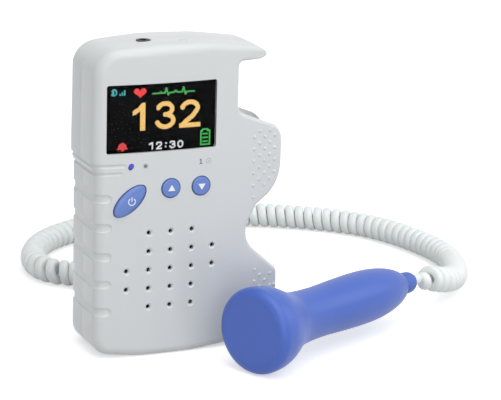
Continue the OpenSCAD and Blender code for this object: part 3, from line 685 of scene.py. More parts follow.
def groove(bm, path, half_height, depth, squareness):
    """A shallow groove along a path on the surface, with round ends; squareness flattens its floor."""
    rows = []
    n = len(path)
    for i, (p, out) in enumerate(path):
        k = min(1, (i + 0.3) / 3, (n - 1 - i + 0.3) / 3)
        k = math.sqrt(1 - (1 - k) ** 2)
        ring = []
        for s in range(20):
            c, up = math.cos(math.tau * s / 20), math.sin(math.tau * s / 20)
            across = math.copysign(abs(c) ** squareness, c)
            rise = math.copysign(abs(up) ** squareness, up)
            deep = out * depth * math.sqrt(k) * rise * (3 if up > 0 else 1)
            ring.append(p + Vector((0, 0, half_height * k * across)) + deep)
        rows.append(ring)
    made = skin(bm, rows)
    bm.faces.new(made[-1])


groove_z = ((92.4, -21.6), (88.7, -23.2))
notch_z = (77.2, 63.5, 49.6, 36.4, 23.2)


def grooves(bm):
    for z, x in groove_z:
        groove(bm, side_path(z, x, -24), 0.95, 0.65, 1)
    for z in notch_z:
        groove(bm, side_path(z, -28.4, -28.4), 2.1, 0.68, 0.75)


shell_plastic = moulded("pale_grey_abs", (0.65, 0.668, 0.668), 0.31, grain=4, depth=0.005, cloud=0.02,
                        shade=0.015, coat=0.12)
work = cut_with(as_mesh(solid_half(-1), "front_work"), grooves, cavity(-1), cradle, window_hole, key_holes,
                small_holes)
front_shell = piece_from(as_bmesh(work), "front_shell", shell_plastic, "unit", 20)
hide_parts("front_case")

door_x, door_z, door_in, door_gap, door_corner = (-19.6, 18.8), (36.4, 98.4), 18.0, 0.2, 1.5
bay_x, bay_y, bay_z, bay_wall = (-16.1, 15.3), (0.9, 17.4), (37.5, 95.0), 1.5
hinge_at, barrel_r, pin_r = (18.3, 34.0), 1.7, 0.8
barrel_x = (-8.6, 7.8)
lug_x = ((-18.6, -8.8), (8.0, 17.8))
screw_at = ((-27, 11), (27, 11), (-27, 137), (20, 138))
cord_exit = (12, 12)


def box(bm, x, y, z):
    prism(bm, [(x[0], z[0]), (x[1], z[0]), (x[1], z[1]), (x[0], z[1])], y[0], y[1])


def hinge_rod(bm, x, r):
    """A round bar along the hinge of the battery door."""
    turned(bm, [(0, x[0]), (r, x[0]), (r, x[1]), (0, x[1])],
           Matrix.Translation((0, hinge_at[0], hinge_at[1])) @ Matrix.Rotation(math.pi / 2, 4, "Y"), 40)


def join_with(mesh, *adders):
    return cut_with(mesh, *adders, operation="UNION")


def bay_box(bm):
    """The battery bay's walls."""
    box(bm, (bay_x[0] - bay_wall, bay_x[1] + bay_wall), (bay_y[0] - bay_wall, 16.8),
        (bay_z[0] - bay_wall, bay_z[1] + bay_wall))


def door_seat(bm):
    box(bm, (door_x[0] - 2.5, door_x[1] + 2.5), (16.3, 18.2), (hinge_at[1] - 3, door_z[1] + 2.5))


def door_hole(bm):
    prism(bm, box_outline((door_x[0] - door_gap, door_x[1] + door_gap), (hinge_at[1], door_z[1] + door_gap),
                          door_corner + door_gap), door_in, 25)


def back_holes(bm):
    """Counterbored screw holes and the hole for the cord's boot."""
    for at in screw_at:
        face = face_depth(at[0])
        turned(bm, [(0, -1), (1.4, -1), (1.4, 14), (2.5, 14), (2.5, face - 0.75), (3.2, face + 0.3), (3.2, 26),
                    (0, 26)],
               pointing(at, 1), 40)
    rod(bm, cord_exit, 3.5, 3.5, 8, 25)


def swing_room(bm):
    """The slot below the opening that takes the lid's hinge arm when the lid stands open."""
    box(bm, (barrel_x[0] - door_gap, barrel_x[1] + door_gap), (18.1, 25), (32.9, hinge_at[1] + 0.1))


back = cut_with(as_mesh(solid_half(1), "back_work"), grooves, cavity(1), cradle)
back = join_with(back, bay_box, door_seat, lambda bm: rod(bm, cord_exit, 6, 6, 12, 18.4, 40))
for at in screw_at:
    back = join_with(back, lambda bm: rod(bm, at, 4.2, 4.2, 0.1, 16.4, 40))
back = cut_with(back, lambda bm: box(bm, bay_x, (bay_y[0], 30), bay_z), door_hole,
                lambda bm: hinge_rod(bm, (door_x[0] - door_gap, door_x[1] + door_gap), barrel_r + door_gap),
                swing_room, back_holes)
for ends in lug_x:
    back = join_with(back, lambda bm: hinge_rod(bm, ends, barrel_r),
                     lambda bm: box(bm, ends, (17, 18.9), (31.2, 33.9)))
back = cut_with(back, lambda bm: hinge_rod(bm, (lug_x[0][0] - 0.5, lug_x[1][1] + 0.5), pin_r))
back_shell = piece_from(as_bmesh(back), "back_shell", shell_plastic, "unit", 20)
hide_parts("rear_case")


def stand_on_points():
    """Stands a shape on every point, turned to the point's facing, with a small spread in size."""
    group = bpy.data.node_groups.new("stand_on_points", "GeometryNodeTree")
    add = group.interface.new_socket
    for name, kind in (("Points", "Geometry"), ("Shape", "Object"), ("Spread", "Float"), ("Seed", "Int"),
                       ("Material", "Material")):
        add(name, in_out="INPUT", socket_type="NodeSocket" + kind)
    add("Geometry", in_out="OUTPUT", socket_type="NodeSocketGeometry")
    n, link = group.nodes, group.links.new
    given, made = n.new("NodeGroupInput"), n.new("NodeGroupOutput")
    shape = n.new("GeometryNodeObjectInfo")
    link(given.outputs["Shape"], shape.inputs["Object"])
    facing = n.new("GeometryNodeInputNamedAttribute")
    facing.data_type = "FLOAT_VECTOR"
    facing.inputs["Name"].default_value = "facing"
    turn = n.new("FunctionNodeAlignRotationToVector")
    turn.axis = "Z"
    link(facing.outputs["Attribute"], turn.inputs["Vector"])
    least, most = n.new("ShaderNodeMath"), n.new("ShaderNodeMath")
    least.operation, most.operation = "SUBTRACT", "ADD"
    for end in (least, most):
        end.inputs[0].default_value = 1
        link(given.outputs["Spread"], end.inputs[1])
    size = n.new("FunctionNodeRandomValue")
    size.data_type = "FLOAT"
    link(least.outputs[0], size.inputs["Min"])
    link(most.outputs[0], size.inputs["Max"])
    link(given.outputs["Seed"], size.inputs["Seed"])
    stand = n.new("GeometryNodeInstanceOnPoints")
    link(given.outputs["Points"], stand.inputs["Points"])
    link(shape.outputs["Geometry"], stand.inputs["Instance"])
    link(turn.outputs["Rotation"], stand.inputs["Rotation"])
    link(size.outputs["Value"], stand.inputs["Scale"])
    real = n.new("GeometryNodeRealizeInstances")
    link(stand.outputs["Instances"], real.inputs["Geometry"])
    paint = n.new("GeometryNodeSetMaterial")
    link(real.outputs["Geometry"], paint.inputs["Geometry"])
    link(given.outputs["Material"], paint.inputs["Material"])
    link(paint.outputs["Geometry"], made.inputs["Geometry"])
    return group


repeater = stand_on_points()


def repeated(name, shape_bm, points, finish, body, spread=0.0, seed=1):
    """One piece with the shape, in millimetres, on every point; a point is its place and its facing."""
    bmesh.ops.recalc_face_normals(shape_bm, faces=shape_bm.faces)
    shape_mesh = as_mesh(shape_bm, "shape")
    shape_mesh.transform(Matrix.Scale(MM, 4))
    shape = bpy.data.objects.new("shape", shape_mesh)
    spots = bpy.data.meshes.new("spots")
    spots.from_pydata([p * MM for p, _ in points], [], [])
    facing = spots.attributes.new("facing", "FLOAT_VECTOR", "POINT")
    facing.data.foreach_set("vector", [c for _, way in points for c in way])
    holder = bpy.data.objects.new("holder", spots)
    for o in (shape, holder):
        bpy.context.collection.objects.link(o)
    maker = holder.modifiers.new("repeat", "NODES")
    maker.node_group = repeater
    given = {item.name: item.identifier for item in repeater.interface.items_tree if item.in_out == "INPUT"}
    for socket, value in (("Shape", shape), ("Spread", spread), ("Seed", seed), ("Material", finish)):
        maker[given[socket]] = value
    bpy.context.view_layer.update()
    mesh = bpy.data.meshes.new_from_object(holder.evaluated_get(bpy.context.evaluated_depsgraph_get()))
    for o in (holder, shape):
        bpy.data.objects.remove(o)
    return piece_of(mesh, name, finish, body)


# ---- Battery door -------------------------------------------------------------------------------
# A crowned lid of the same plastic, which swings down on a pin through its lower edge.
# It has a finger scoop at its top, and a row of grip ribs moulded on below the scoop.
def shrunk_box(x, z, r, by):
    """A rectangle with round corners, drawn in by a margin."""
    return box_outline((x[0] + by, x[1] - by), (z[0] + by, z[1] - by), max(0.2, r - by))


def lid(bm):
    rings = []
    for by, down in ((0, None), (0, 0.45), (0.06, 0.2), (0.2, 0.06), (0.42, 0)):
        rings.append([Vector((x, door_in + 0.05 if down is None else face_depth(x) - down, z))
                      for x, z in shrunk_box(door_x, door_z, door_corner, by)])
    rows = skin(bm, rings)
    crown_between(bm, rows[-1], 2.0, face_depth)


def scoop(bm):
    turned(bm, [(5.6 * math.sin(math.radians(a)), -5.6 * math.cos(math.radians(a))) for a in range(0, 181, 6)],
           Matrix.Translation((-0.4, 24.2, door_z[1] - 6)), 64)


bm = bmesh.new()
lid(bm)
bmesh.ops.triangulate(bm, faces=bm.faces)
bmesh.ops.recalc_face_normals(bm, faces=bm.faces)
work = join_with(as_mesh(bm, "door_work"), lambda bm: hinge_rod(bm, barrel_x, barrel_r),
                 lambda bm: box(bm, barrel_x, (door_in + 0.05, 19.2), (hinge_at[1], door_z[0] + 0.5)))
work = cut_with(work, scoop, lambda bm: hinge_rod(bm, (barrel_x[0] - 1, barrel_x[1] + 1), pin_r + 0.05))
door_lid = piece_from(as_bmesh(work), "door_lid", shell_plastic, "door", 32)
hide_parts("battery_door")

bm = bmesh.new()
rib = []
for k in range(21):
    x, r = -11 + 1.1 * k, 0.05 if k in (0, 20) else 0.5
    rib.append([Vector((x, face_depth(x) - 19.6 + r * math.cos(math.tau * a / 10),
                        r * math.sin(math.tau * a / 10))) for a in range(10)])
rows = skin(bm, rib)
bm.faces.new(rows[-1])
rib_spots = [(Vector((-0.4, 19.5, 84 - 2.4 * k)), Vector((0, 0, 1))) for k in range(7)]
grip_ribs = repeated("grip_ribs", bm, rib_spots, shell_plastic, "door")


# ---- Display ------------------------------------------------------------------------------------
# A small colour panel in a black frame behind a flush window of clear hard plastic, cemented into the case.
# Its lit figures are square pixels: a large reading, a pulse line, a clock and four small signs.
clear_glass, _, glass = blank_finish("window_clear")
for socket, value in (("Base Color", (0.97, 0.98, 0.98, 1)), ("Roughness", 0.0), ("Transmission Weight", 1.0),
                      ("IOR", 1.04)):
    glass.inputs[socket].default_value = value
bm = bmesh.new()
rings = []
for by, down in ((0, None), (0, 0.62), (0.05, 0.42), (0.2, 0.3)):
    rings.append([Vector((x, -16.4 if down is None else -(face_depth(x) - down), z))
                  for x, z in shrunk_box((window_x[0] + 0.08, window_x[1] - 0.08),
                                         (window_z[0] + 0.08, window_z[1] - 0.08), 1.0, by)])
rows = skin(bm, rings)
crown_between(bm, rows[-1], 2.0, lambda x: -(face_depth(x) - 0.3))
bmesh.ops.triangulate(bm, faces=bm.faces)
window_pane = piece_from(bm, "window_pane", clear_glass, "unit", 25)
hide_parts("display_window")

pixel = 0.36
panel_front = -16.3


def lit(name, colour):
    """A glowing pixel colour, a little brighter in some cells than in others."""
    finish, tree, surface = blank_finish(name)
    where = tree.nodes.new("ShaderNodeTexCoord")
    cells = tree.nodes.new("ShaderNodeTexVoronoi")
    cells.inputs["Scale"].default_value = 2500
    tree.links.new(where.outputs["Object"], cells.inputs["Vector"])
    mix_colours(tree, cells.outputs["Distance"], colour, [c * 0.86 for c in colour],
                surface.inputs["Emission Color"])
    surface.inputs["Base Color"].default_value = (0.02, 0.02, 0.02, 1)
    surface.inputs["Roughness"].default_value = 0.5
    surface.inputs["Emission Strength"].default_value = 1
    return finish


def arc(cx, cz, rx, rz, a0, a1, steps=24):
    return [(cx + rx * math.cos(math.radians(a0 + (a1 - a0) * k / steps)),
             cz + rz * math.sin(math.radians(a0 + (a1 - a0) * k / steps))) for k in range(steps + 1)]


def near_line(x, z, line):
    """How far x, z lies from a line of straight parts."""
    best = 1e9
    for (ax, az), (bx, bz) in zip(line, line[1:]):
        ux, uz = bx - ax, bz - az
        t = max(0, min(1, ((x - ax) * ux + (z - az) * uz) / max(1e-9, ux * ux + uz * uz)))
        best = min(best, math.hypot(x - ax - t * ux, z - az - t * uz))
    return best


def inside(x, z, shape):
    odd = False
    for (ax, az), (bx, bz) in zip(shape, shape[1:] + shape[:1]):
        if (az > z) != (bz > z) and x < (bx - ax) * (z - az) / (bz - az) + ax:
            odd = not odd
    return odd


def show(name, colour, strokes=(), areas=()):
    """A lit figure: the pixels that lie near a stroke (a line and its width) or inside an area."""
    points = [p for line, _ in strokes for p in line] + [p for area in areas for p in area]
    reach = max([w for _, w in strokes], default=0)
    low = [min(p[i] for p in points) - reach for i in (0, 1)]
    high = [max(p[i] for p in points) + reach for i in (0, 1)]
    spots = []
    for i in range(math.floor(low[0] / pixel), math.ceil(high[0] / pixel) + 1):
        for k in range(math.floor(low[1] / pixel), math.ceil(high[1] / pixel) + 1):
            x, z = i * pixel, k * pixel
            if any(near_line(x, z, line) <= w / 2 for line, w in strokes) or any(
                    inside(x, z, area) for area in areas):
                spots.append((Vector((x, panel_front - 0.03, z)), Vector((0, -1, 0))))
    bm = bmesh.new()
    bmesh.ops.create_cube(bm, size=1, matrix=Matrix.Diagonal((pixel * 0.93, pixel * 0.93, 0.04, 1)))
    figure = repeated(name, bm, spots, lit(name + "_light", colour), "unit")


figure_1 = [(-14.2, 107.9), (-11.6, 107.9), (-11.6, 120.8), (-13.4, 120.8), (-15.2, 118.7), (-17.7, 117.3),
            (-17.7, 115.1), (-15.9, 115.8), (-14.2, 117.0)]
figure_3 = arc(-2.1, 117.2, 3.4, 2.6, 165, -90) + arc(-2.0, 111.8, 3.9, 2.9, 90, -165)
figure_2 = arc(10.1, 117.0, 3.7, 2.7, 172, -30) + [(11.6, 113.4), (7.9, 110.6), (6.7, 109.2)]
base_of_2 = [(5.0, 107.9), (15.3, 107.9), (15.3, 110.0), (5.0, 110.0)]
figure_stroke, sign_stroke = 2.2, 0.75
show("reading", (1.0, 0.6, 0.15), [(figure_3, figure_stroke), (figure_2, figure_stroke)], [figure_1, base_of_2])

heart = [(-14.3, 123.2), (-16.9, 125.5)] + arc(-15.9, 126.2, 1.5, 1.35, 190, 20, 12) \
    + arc(-12.7, 126.2, 1.5, 1.35, 160, -10, 12) + [(-11.6, 125.3)]
show("heart", (1.0, 0.02, 0.02), areas=[heart])
bell = [(-25.5, 99.6), (-24.6, 100.4)] + arc(-22.6, 100.8, 2.0, 1.9, 170, 10, 14) \
    + [(-20.6, 100.4), (-19.7, 99.6)]
show("bell", (0.75, 0.01, 0.015), [([(-23.0, 99.2), (-22.2, 99.2)], 0.8)], [bell])
bars = [([(x, 125.0), (x, top)], 0.7) for x, top in ((-24.1, 125.5), (-23.0, 126.1), (-21.9, 126.9))]
show("sound", (0.03, 0.42, 0.42), [(arc(-26.9, 126.3, 1.25, 1.3, -140, 140, 20), 0.7),
                                   ([(-27.3, 125.7), (-27.3, 126.9)], 0.9)] + bars)
pulse = [(-8.2, 124.6), (-5.0, 124.6), (-4.2, 125.3), (-3.5, 124.6), (-2.4, 124.6), (-1.6, 126.9), (-0.7, 123.7),
         (0.0, 124.6), (2.0, 124.6), (2.9, 125.5), (3.9, 124.6), (6.0, 124.6), (6.8, 126.9), (7.7, 123.7),
         (8.4, 124.6), (11.9, 124.6)]
show("pulse", (0.03, 0.42, 0.06), [(pulse, sign_stroke)])


def small_figure(figure, x, z, w, h):
    """The strokes of one small figure, in a box that starts at x, z."""
    if figure == "1":
        return [[(x + 0.1 * w, z + 0.78 * h), (x + 0.6 * w, z + h), (x + 0.6 * w, z)]]
    if figure == "2":
        return [arc(x + w / 2, z + 0.7 * h, w / 2, 0.3 * h, 170, -28) + [(x, z), (x + w, z)]]
    if figure == "3":
        return [arc(x + 0.48 * w, z + 0.76 * h, 0.46 * w, 0.24 * h, 165, -90),
                arc(x + 0.48 * w, z + 0.27 * h, 0.52 * w, 0.27 * h, 90, -165)]
    if figure == "0":
        return [arc(x + w / 2, z + h / 2, w / 2, h / 2, 0, 360, 40)]
    return [[(x + w / 2, z + low * h), (x + w / 2, z + high * h)] for low, high in ((0.2, 0.24), (0.76, 0.8))]


clock = []
for figure, x in (("1", -9.6), ("2", -6.0), (":", -2.6), ("3", 0.6), ("0", 4.4)):
    clock += [(line, sign_stroke) for line in small_figure(figure, x, 98.9, 2.3, 2.9)]
show("clock", (0.75, 0.76, 0.8), clock)
cell_box = [(15.5, 99.2), (19.9, 99.2), (19.9, 105.6), (18.9, 105.6), (18.9, 106.3), (16.5, 106.3), (16.5, 105.6),
            (15.5, 105.6), (15.5, 99.2)]
show("charge", (0.02, 0.5, 0.06),
     [(line, sign_stroke) for line in [cell_box] + [[(16.6, z), (18.8, z)] for z in (100.7, 102.4, 104.1)]])

# ---- Indicator lamp and printed marks -----------------------------------------------------------
# A polished blue-violet lens stands in its hole at the end of the two grooves.
# The small marks are pad-printed in two greys: a ringed dot, a 1 and a ring in front, an earphone sign on top.
lens_finish = moulded("lens_violet", (0.035, 0.028, 0.62), 0.12, grain=2, depth=0.001, cloud=0.4, shade=0.1,
                      coat=0.4, subsurface=0.2)
bm = bmesh.new()
lens_front = face_depth(led_at[0]) + 0.35
dome = [(0.05, 0), (0.2, 0.3), (0.5, 0.55), (0.9, 0.7)]
rings = [[Vector((x, -y, z)) for x, z in lamp_oval(rx, rz)]
         for rx, rz, y in ((1.9, 2.2, 12.4), (1.9, 2.2, 13.6), (1.2, 1.5, 13.6), (1.2, 1.5, lens_front - 0.7))]
rings += [[Vector((x, -(lens_front - 0.7 + h), z)) for x, z in lamp_oval(1.2 - by, 1.5 - by)]
          for by, h in dome]
rows = skin(bm, rings)
bm.faces.new(rows[-1])
led_lens = piece_from(bm, "led_lens", lens_finish, "unit")
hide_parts("status_lens")


def print_on(bm, line, width, put, closed=False):
    """A printed line: a thin raised strip; put(a, b, lift) gives the place of a, b above the surface."""
    n = len(line)
    rows = []
    for i, (x, z) in enumerate(line):
        a = line[(i - 1) % n] if closed or i else line[0]
        b = line[(i + 1) % n] if closed or i < n - 1 else line[-1]
        run_x, run_z = b[0] - a[0], b[1] - a[1]
        size = math.hypot(run_x, run_z) or 1
        ox, oz = -run_z / size * width / 2, run_x / size * width / 2
        rows.append([bm.verts.new(put(px, pz, lift)) for px, pz, lift in (
            (x + ox, z + oz, -0.1), (x + ox, z + oz, 0.03), (x - ox, z - oz, 0.03), (x - ox, z - oz, -0.1))])
    pairs = list(zip(rows, rows[1:])) + ([(rows[-1], rows[0])] if closed else [])
    for a, b in pairs:
        for k in range(4):
            bm.faces.new((a[k], a[(k + 1) % 4], b[(k + 1) % 4], b[k]))
    if not closed:
        bm.faces.new(rows[0][::-1])
        bm.faces.new(rows[-1])


def fill_on(bm, shape, put):
    """A printed patch on the surface."""
    rows = skin(bm, [[put(x, z, lift) for x, z in shape] for lift in (-0.1, 0.03)])
    bm.faces.new(rows[-1])


def on_front(x, z, lift):
    return Vector((x, -face_depth(x) - lift, z))


def on_top(x, y, lift):
    """A place on the top of the case, which falls a little to the back and leans in to the front."""
    z = max(look_up(x, [p[0] for p in top_line], [p[1] for p in top_line]), 140)
    lean = 0.3 * (abs(y) - 0.3) / (face_depth(x) - top_edge - 0.3)
    return Vector((x, y, z - top_fall(x, z, y) - lean + lift))


top_line = sorted((p[0], p[1]) for p in outline if p[3] > 0.9 and p[1] > 140)
grey_ink = moulded("ink_grey", (0.16, 0.165, 0.175), 0.5, grain=8, depth=0.002, cloud=1.5, shade=0.15)
bm = bmesh.new()
fill_on(bm, arc(-12.5, 91.9, 0.85, 0.85, 0, 345, 23), on_front)
for start, end, width in (((14.8, 91.0), (14.8, 93.2), 0.55), ((14.0, 90.9), (15.6, 90.9), 0.35),
                          ((14.1, 92.5), (14.8, 93.2), 0.35)):
    print_on(bm, [start, end], width, on_front)
front_marks = piece_from(bm, "front_marks", grey_ink, "unit")
pale_ink = moulded("ink_pale", (0.45, 0.46, 0.48), 0.5, grain=8, depth=0.002, cloud=1.5, shade=0.1)
bm = bmesh.new()
print_on(bm, arc(18.65, 91.9, 1.15, 1.15, 0, 350, 35), 0.36, on_front, True)
fill_on(bm, arc(18.65, 91.9, 0.35, 0.35, 0, 340, 17), on_front)
print_on(bm, arc(-12.5, 91.9, 1.2, 1.2, 0, 350, 35), 0.25, on_front, True)
print_on(bm, arc(8.3, -10.8, 1.5, 1.5, 0, 180, 20), 0.3, on_top)
for x in (6.8, 9.8):
    print_on(bm, [(x, -10.7), (x, -12.0)], 0.75, on_top)
pale_marks = piece_from(bm, "pale_marks", pale_ink, "unit")

# ---- Keys ---------------------------------------------------------------------------------------
# Three moulded keys of soft blue plastic: a leaf-shaped power key, and round keys for up and down.
# They stand a little out of flared holes, each in a dark rubber ring that is partly painted shade of the gap
# round the key, are slightly domed and carry white signs.
key_plastic = moulded("key_blue", (0.125, 0.215, 0.56), 0.34, grain=5, depth=0.004, cloud=0.15, shade=0.05,
                      coat=0.15)
white_ink = moulded("ink_white", (0.86, 0.87, 0.9), 0.45, grain=8, depth=0.002, cloud=1.0, shade=0.03)
round_profile = [(0, 14.2), (2, 14.2), (2, 15.4), (button_r + 1, 15.4), (button_r + 1, 16.4), (button_r, 16.4)]
for name, at, point in (("up", up_at, 1), ("down", down_at, -1)):
    top = face_depth(at[0])
    bm = bmesh.new()
    edge = [(button_r - 0.8 + 0.8 * math.cos(math.radians(a)), top + 0.15 + 0.75 * math.sin(math.radians(a)))
            for a in range(0, 91, 10)]
    turned(bm, round_profile + edge + [(button_r - 1.05, top + 0.86), (button_r - 1.4, top + 0.87),
                                       (button_r - 2.2, top + 1.0), (1.6, top + 1.06), (0, top + 1.08)],
           pointing(at, -1), 72)
    cap = piece_from(bm, name + "_cap", key_plastic, name + "_key")
    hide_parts(name + "_button")
    bm = bmesh.new()
    arrow = ((-1.75, -1.15), (1.75, -1.15), (0.12, 1.6), (-0.12, 1.6))
    fill_on(bm, [(at[0] + 0.1 + x, at[1] + point * z) for x, z in arrow],
            lambda x, z, lift: Vector((x, -(top + 1.06) - lift, z)))
    sign = piece_from(bm, name + "_sign", white_ink, name + "_key")

power_face = face_depth(power_at[0])


def leaf_share(x, z):
    """How far x, z lies from the leaf's middle, as a share of the way to its edge."""
    dx, dz = x - power_at[0], z - power_at[1]
    u = dx * math.cos(power_tilt) + dz * math.sin(power_tilt)
    w = -dx * math.sin(power_tilt) + dz * math.cos(power_tilt)
    return min(1, math.hypot(u / (power_l / 2), w / (power_w / 2)))


def on_leaf(x, z, lift):
    return Vector((x, -(power_face + 0.25 + 1.15 * math.sqrt(max(0, 1 - leaf_share(x, z) ** 2.6))) - lift, z))


bm = bmesh.new()
base = leaf_outline(0)
rings = [[Vector((x, y, z)) for x, z in leaf_outline(0.8)] for y in (-15.4, -16.4)]
rings += [[Vector((x, y, z)) for x, z in base] for y in (-16.4, -power_face - 0.05)]
for share in (0.995, 0.98, 0.95, 0.9, 0.82, 0.7, 0.55, 0.38, 0.2):
    ring = []
    for x, z in base:
        px, pz = power_at[0] + share * (x - power_at[0]), power_at[1] + share * (z - power_at[1])
        ring.append(Vector((px, -(power_face + 0.25 + 1.15 * math.sqrt(1 - share ** 2.6)), pz)))
    rings.append(ring)
rows = skin(bm, rings)
middle = bm.verts.new((power_at[0], -(power_face + 1.4), power_at[1]))
for k in range(len(base)):
    bm.faces.new((rows[-1][k], rows[-1][(k + 1) % len(base)], middle))
rod(bm, power_at, 2, 2, -15.5, -14.2, 32)
power_cap = piece_from(bm, "power_cap", key_plastic, "power_key", 30)
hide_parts("power_button")
bm = bmesh.new()
sign_at = (-19.3, 75.8)
print_on(bm, arc(sign_at[0], sign_at[1], 1.65, 1.65, 125, 415, 30), 0.42, on_leaf)
print_on(bm, [(sign_at[0], sign_at[1] + 0.1 + 0.4 * k) for k in range(6)], 0.42, on_leaf)
power_sign = piece_from(bm, "power_sign", white_ink, "power_key")

# The dark blue rings round the keys are partly a rubber gasket and partly painted shade: their dark colour stands
# in for the shaded gap between each key and its hole.
rubber_and_gap_shade = moulded("ring_blue_and_gap_shade", (0.022, 0.05, 0.22), 0.45, grain=3, depth=0.006, cloud=0.3, shade=0.1)
ring_section = ((0.05, -0.25), (0.05, 0.06), (0.12, 0.16), (0.24, 0.19), (0.36, 0.14), (0.42, 0.04),
                (0.42, -0.25))
bm = bmesh.new()
for at in (up_at, down_at):
    turned(bm, [(button_r + g, face_depth(at[0]) + h) for g, h in ring_section + ring_section[:1]],
           pointing(at, -1), 72)
rows = skin(bm, [[Vector((x, -face_depth(x) - h, z)) for x, z in leaf_outline(g)] for g, h in ring_section],
            False)
for k in range(len(rows[0])):
    j = (k + 1) % len(rows[0])
    bm.faces.new((rows[-1][k], rows[-1][j], rows[0][j], rows[0][k]))
key_rings = piece_from(bm, "key_rings", rubber_and_gap_shade, "unit", 40)


# ---- Texture on the wing ------------------------------------------------------------------------
# Low round pips are moulded on the wing, above and below its waist, in staggered rows, for the fingers.
pip_columns = ((42.8, 100.5, 6), (45.8, 103.2, 5), (48.6, 100.3, 5), (51.3, 103.1, 5), (53.9, 100.3, 4))
low_columns = ((44.6, 36.0, 4), (47.4, 33.1, 4), (50.2, 30.2, 4), (53.0, 33.1, 4), (55.2, 27.4, 3))
pip_pitch = 5.8
pips = []
for x, z_top, count in pip_columns + low_columns:
    for k in range(count):
        z = z_top - pip_pitch * k
        ahead = Vector((face_depth(x + 0.5) - face_depth(x - 0.5), -1, 0)).normalized()
        pips.append((Vector((x, -face_depth(x), z)), Vector((-ahead.x, ahead.y, 0))))
bm = bmesh.new()
turned(bm, [(0, -0.15), (0.85, -0.15), (0.85, 0.0), (0.76, 0.16), (0.56, 0.32), (0.3, 0.42), (0, 0.45)],
       Matrix.Identity(4), 16)
wing_pips = repeated("wing_pips", bm, pips, shell_plastic, "unit", spread=0.06, seed=7)

# ---- Probe --------------------------------------------------------------------------------------
# A hand-held ultrasound head: a hollow blue plastic housing, turned in shape, with a flat face cemented in.
# Its handle tapers to a soft boot, through which the cord leaves.
probe_shape = [(4.6, 20.3), (10, 19.9), (15, 18.5), (19, 16.7), (23, 14.9), (28, 13.2), (36, 12.3), (48, 12),
               (62, 12.45), (76, 12.75), (88, 12.4), (98, 11.1), (105, 9.3), (110, 7.2), (112.4, 5.4)]
probe_place = (Matrix.Translation(probe_at) @ Matrix.Rotation(-probe_heading, 4, "Z")
               @ Matrix.Rotation(-math.pi / 2 - probe_fall, 4, "X"))
probe_plastic = moulded("probe_blue", (0.056, 0.128, 0.51), 0.38, grain=3.2, depth=0.012, cloud=0.03, shade=0.03,
                        spread=0.05)
outer = [(v.y, v.x) for v in along([Vector((*p, 0)) for p in probe_shape], 6)]
rim = [(16.4 + 3.9 * math.sin(math.radians(a)), 4.6 * (1 - math.cos(math.radians(a)))) for a in range(0, 90, 6)]
inner = [(r - 2, h) for r, h in outer if 12 < h < 107][::-1]
bm = bmesh.new()
turned(bm, [(15.8, 1.6), (15.8, 0.05), (15.85, 0.0)] + rim + outer + [(2.6, 112.4), (2.6, 107), (6, 107)] + inner
       + [(15.5, 9), (14.6, 6.9), (14.6, 1.6), (15.8, 1.6)], probe_place, 128)
probe_skin = piece_from(bm, "probe_skin", probe_plastic, "probe", 40)
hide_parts("probe_housing")
bm = bmesh.new()
turned(bm, [(0, 1.6), (15.78, 1.6), (15.78, 0.05), (15.73, 0.0), (0, 0.0)], probe_place, 128)
probe_window = piece_from(bm, "probe_window", probe_plastic, "probe", 40)
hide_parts("probe_face")

boot_rubber = moulded("boot_blue", (0.07, 0.14, 0.48), 0.5, grain=2.5, depth=0.015, cloud=0.05, shade=0.04,
                      spread=0.05)
boot_line = [(112.4, 5.1), (114, 5.0), (115.5, 5.25), (117.5, 5.3), (119.5, 5.0), (121, 4.3), (122, 3.4),
             (122.5, 2.6)]
boot_curve = [(v.y, v.x) for v in along([Vector((*p, 0)) for p in boot_line], 4)]
bm = bmesh.new()
turned(bm, [(2.32, 105), (2.6, 105), (2.6, 112.4)] + boot_curve + [(2.32, 122.5), (2.32, 105)], probe_place, 64)
boot_skin = piece_from(bm, "boot_skin", boot_rubber, "probe", 40)
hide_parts("probe_boot")

# ---- Strain relief on the unit ------------------------------------------------------------------
# The cord's boot on the unit: soft white rubber, moulded on the cable, with rings of grooves to let it bend.
relief = [(2.32, 9.5), (5, 9.5), (5, 12), (3.45, 12), (3.45, 20.5)]
for k in range(5):
    y = 20.5 + 2.7 * k
    r = 5 - 1.8 * (y - 20.5) / 14.5
    relief += [(r, y), (r - 0.12, y + 1.5), (r - 0.75, y + 1.75), (r - 0.78, y + 2.45)]
relief += [(3.3, 34.0), (3.2, 34.7), (2.9, 35), (2.32, 35), (2.32, 9.5)]
bm = bmesh.new()
turned(bm, relief, pointing(cord_exit, 1), 48)
relief_skin = piece_from(bm, "relief_skin", cord_skin, "unit", 40)
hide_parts("cord_boot")

# ---- Parts inside the unit and the probe --------------------------------------------------------
# These keep the shapes that they have in the solid model, and only take a finish.
# Steel, black plastic, cloth, foam, paper, circuit board, ceramic and resin each have a finish of their own.
def node_of(tree, kind):
    """The one node of its kind in a finish."""
    return next(n for n in tree.nodes if n.type == kind)


def brushed(name, colour, roughness, stretch):
    """Metal with fine lines drawn along one way."""
    finish = moulded(name, colour, roughness, grain=2, depth=0.003, cloud=0.1, shade=0.06, spread=0.12, metal=1.0)
    tree = finish.node_tree
    where = node_of(tree, "TEX_COORD")
    texture = node_of(tree, "GROUP")
    along_way = tree.nodes.new("ShaderNodeMapping")
    along_way.inputs["Scale"].default_value = stretch
    tree.links.new(where.outputs["Object"], along_way.inputs["Vector"])
    tree.links.new(along_way.outputs["Vector"], texture.inputs["Vector"])
    return finish


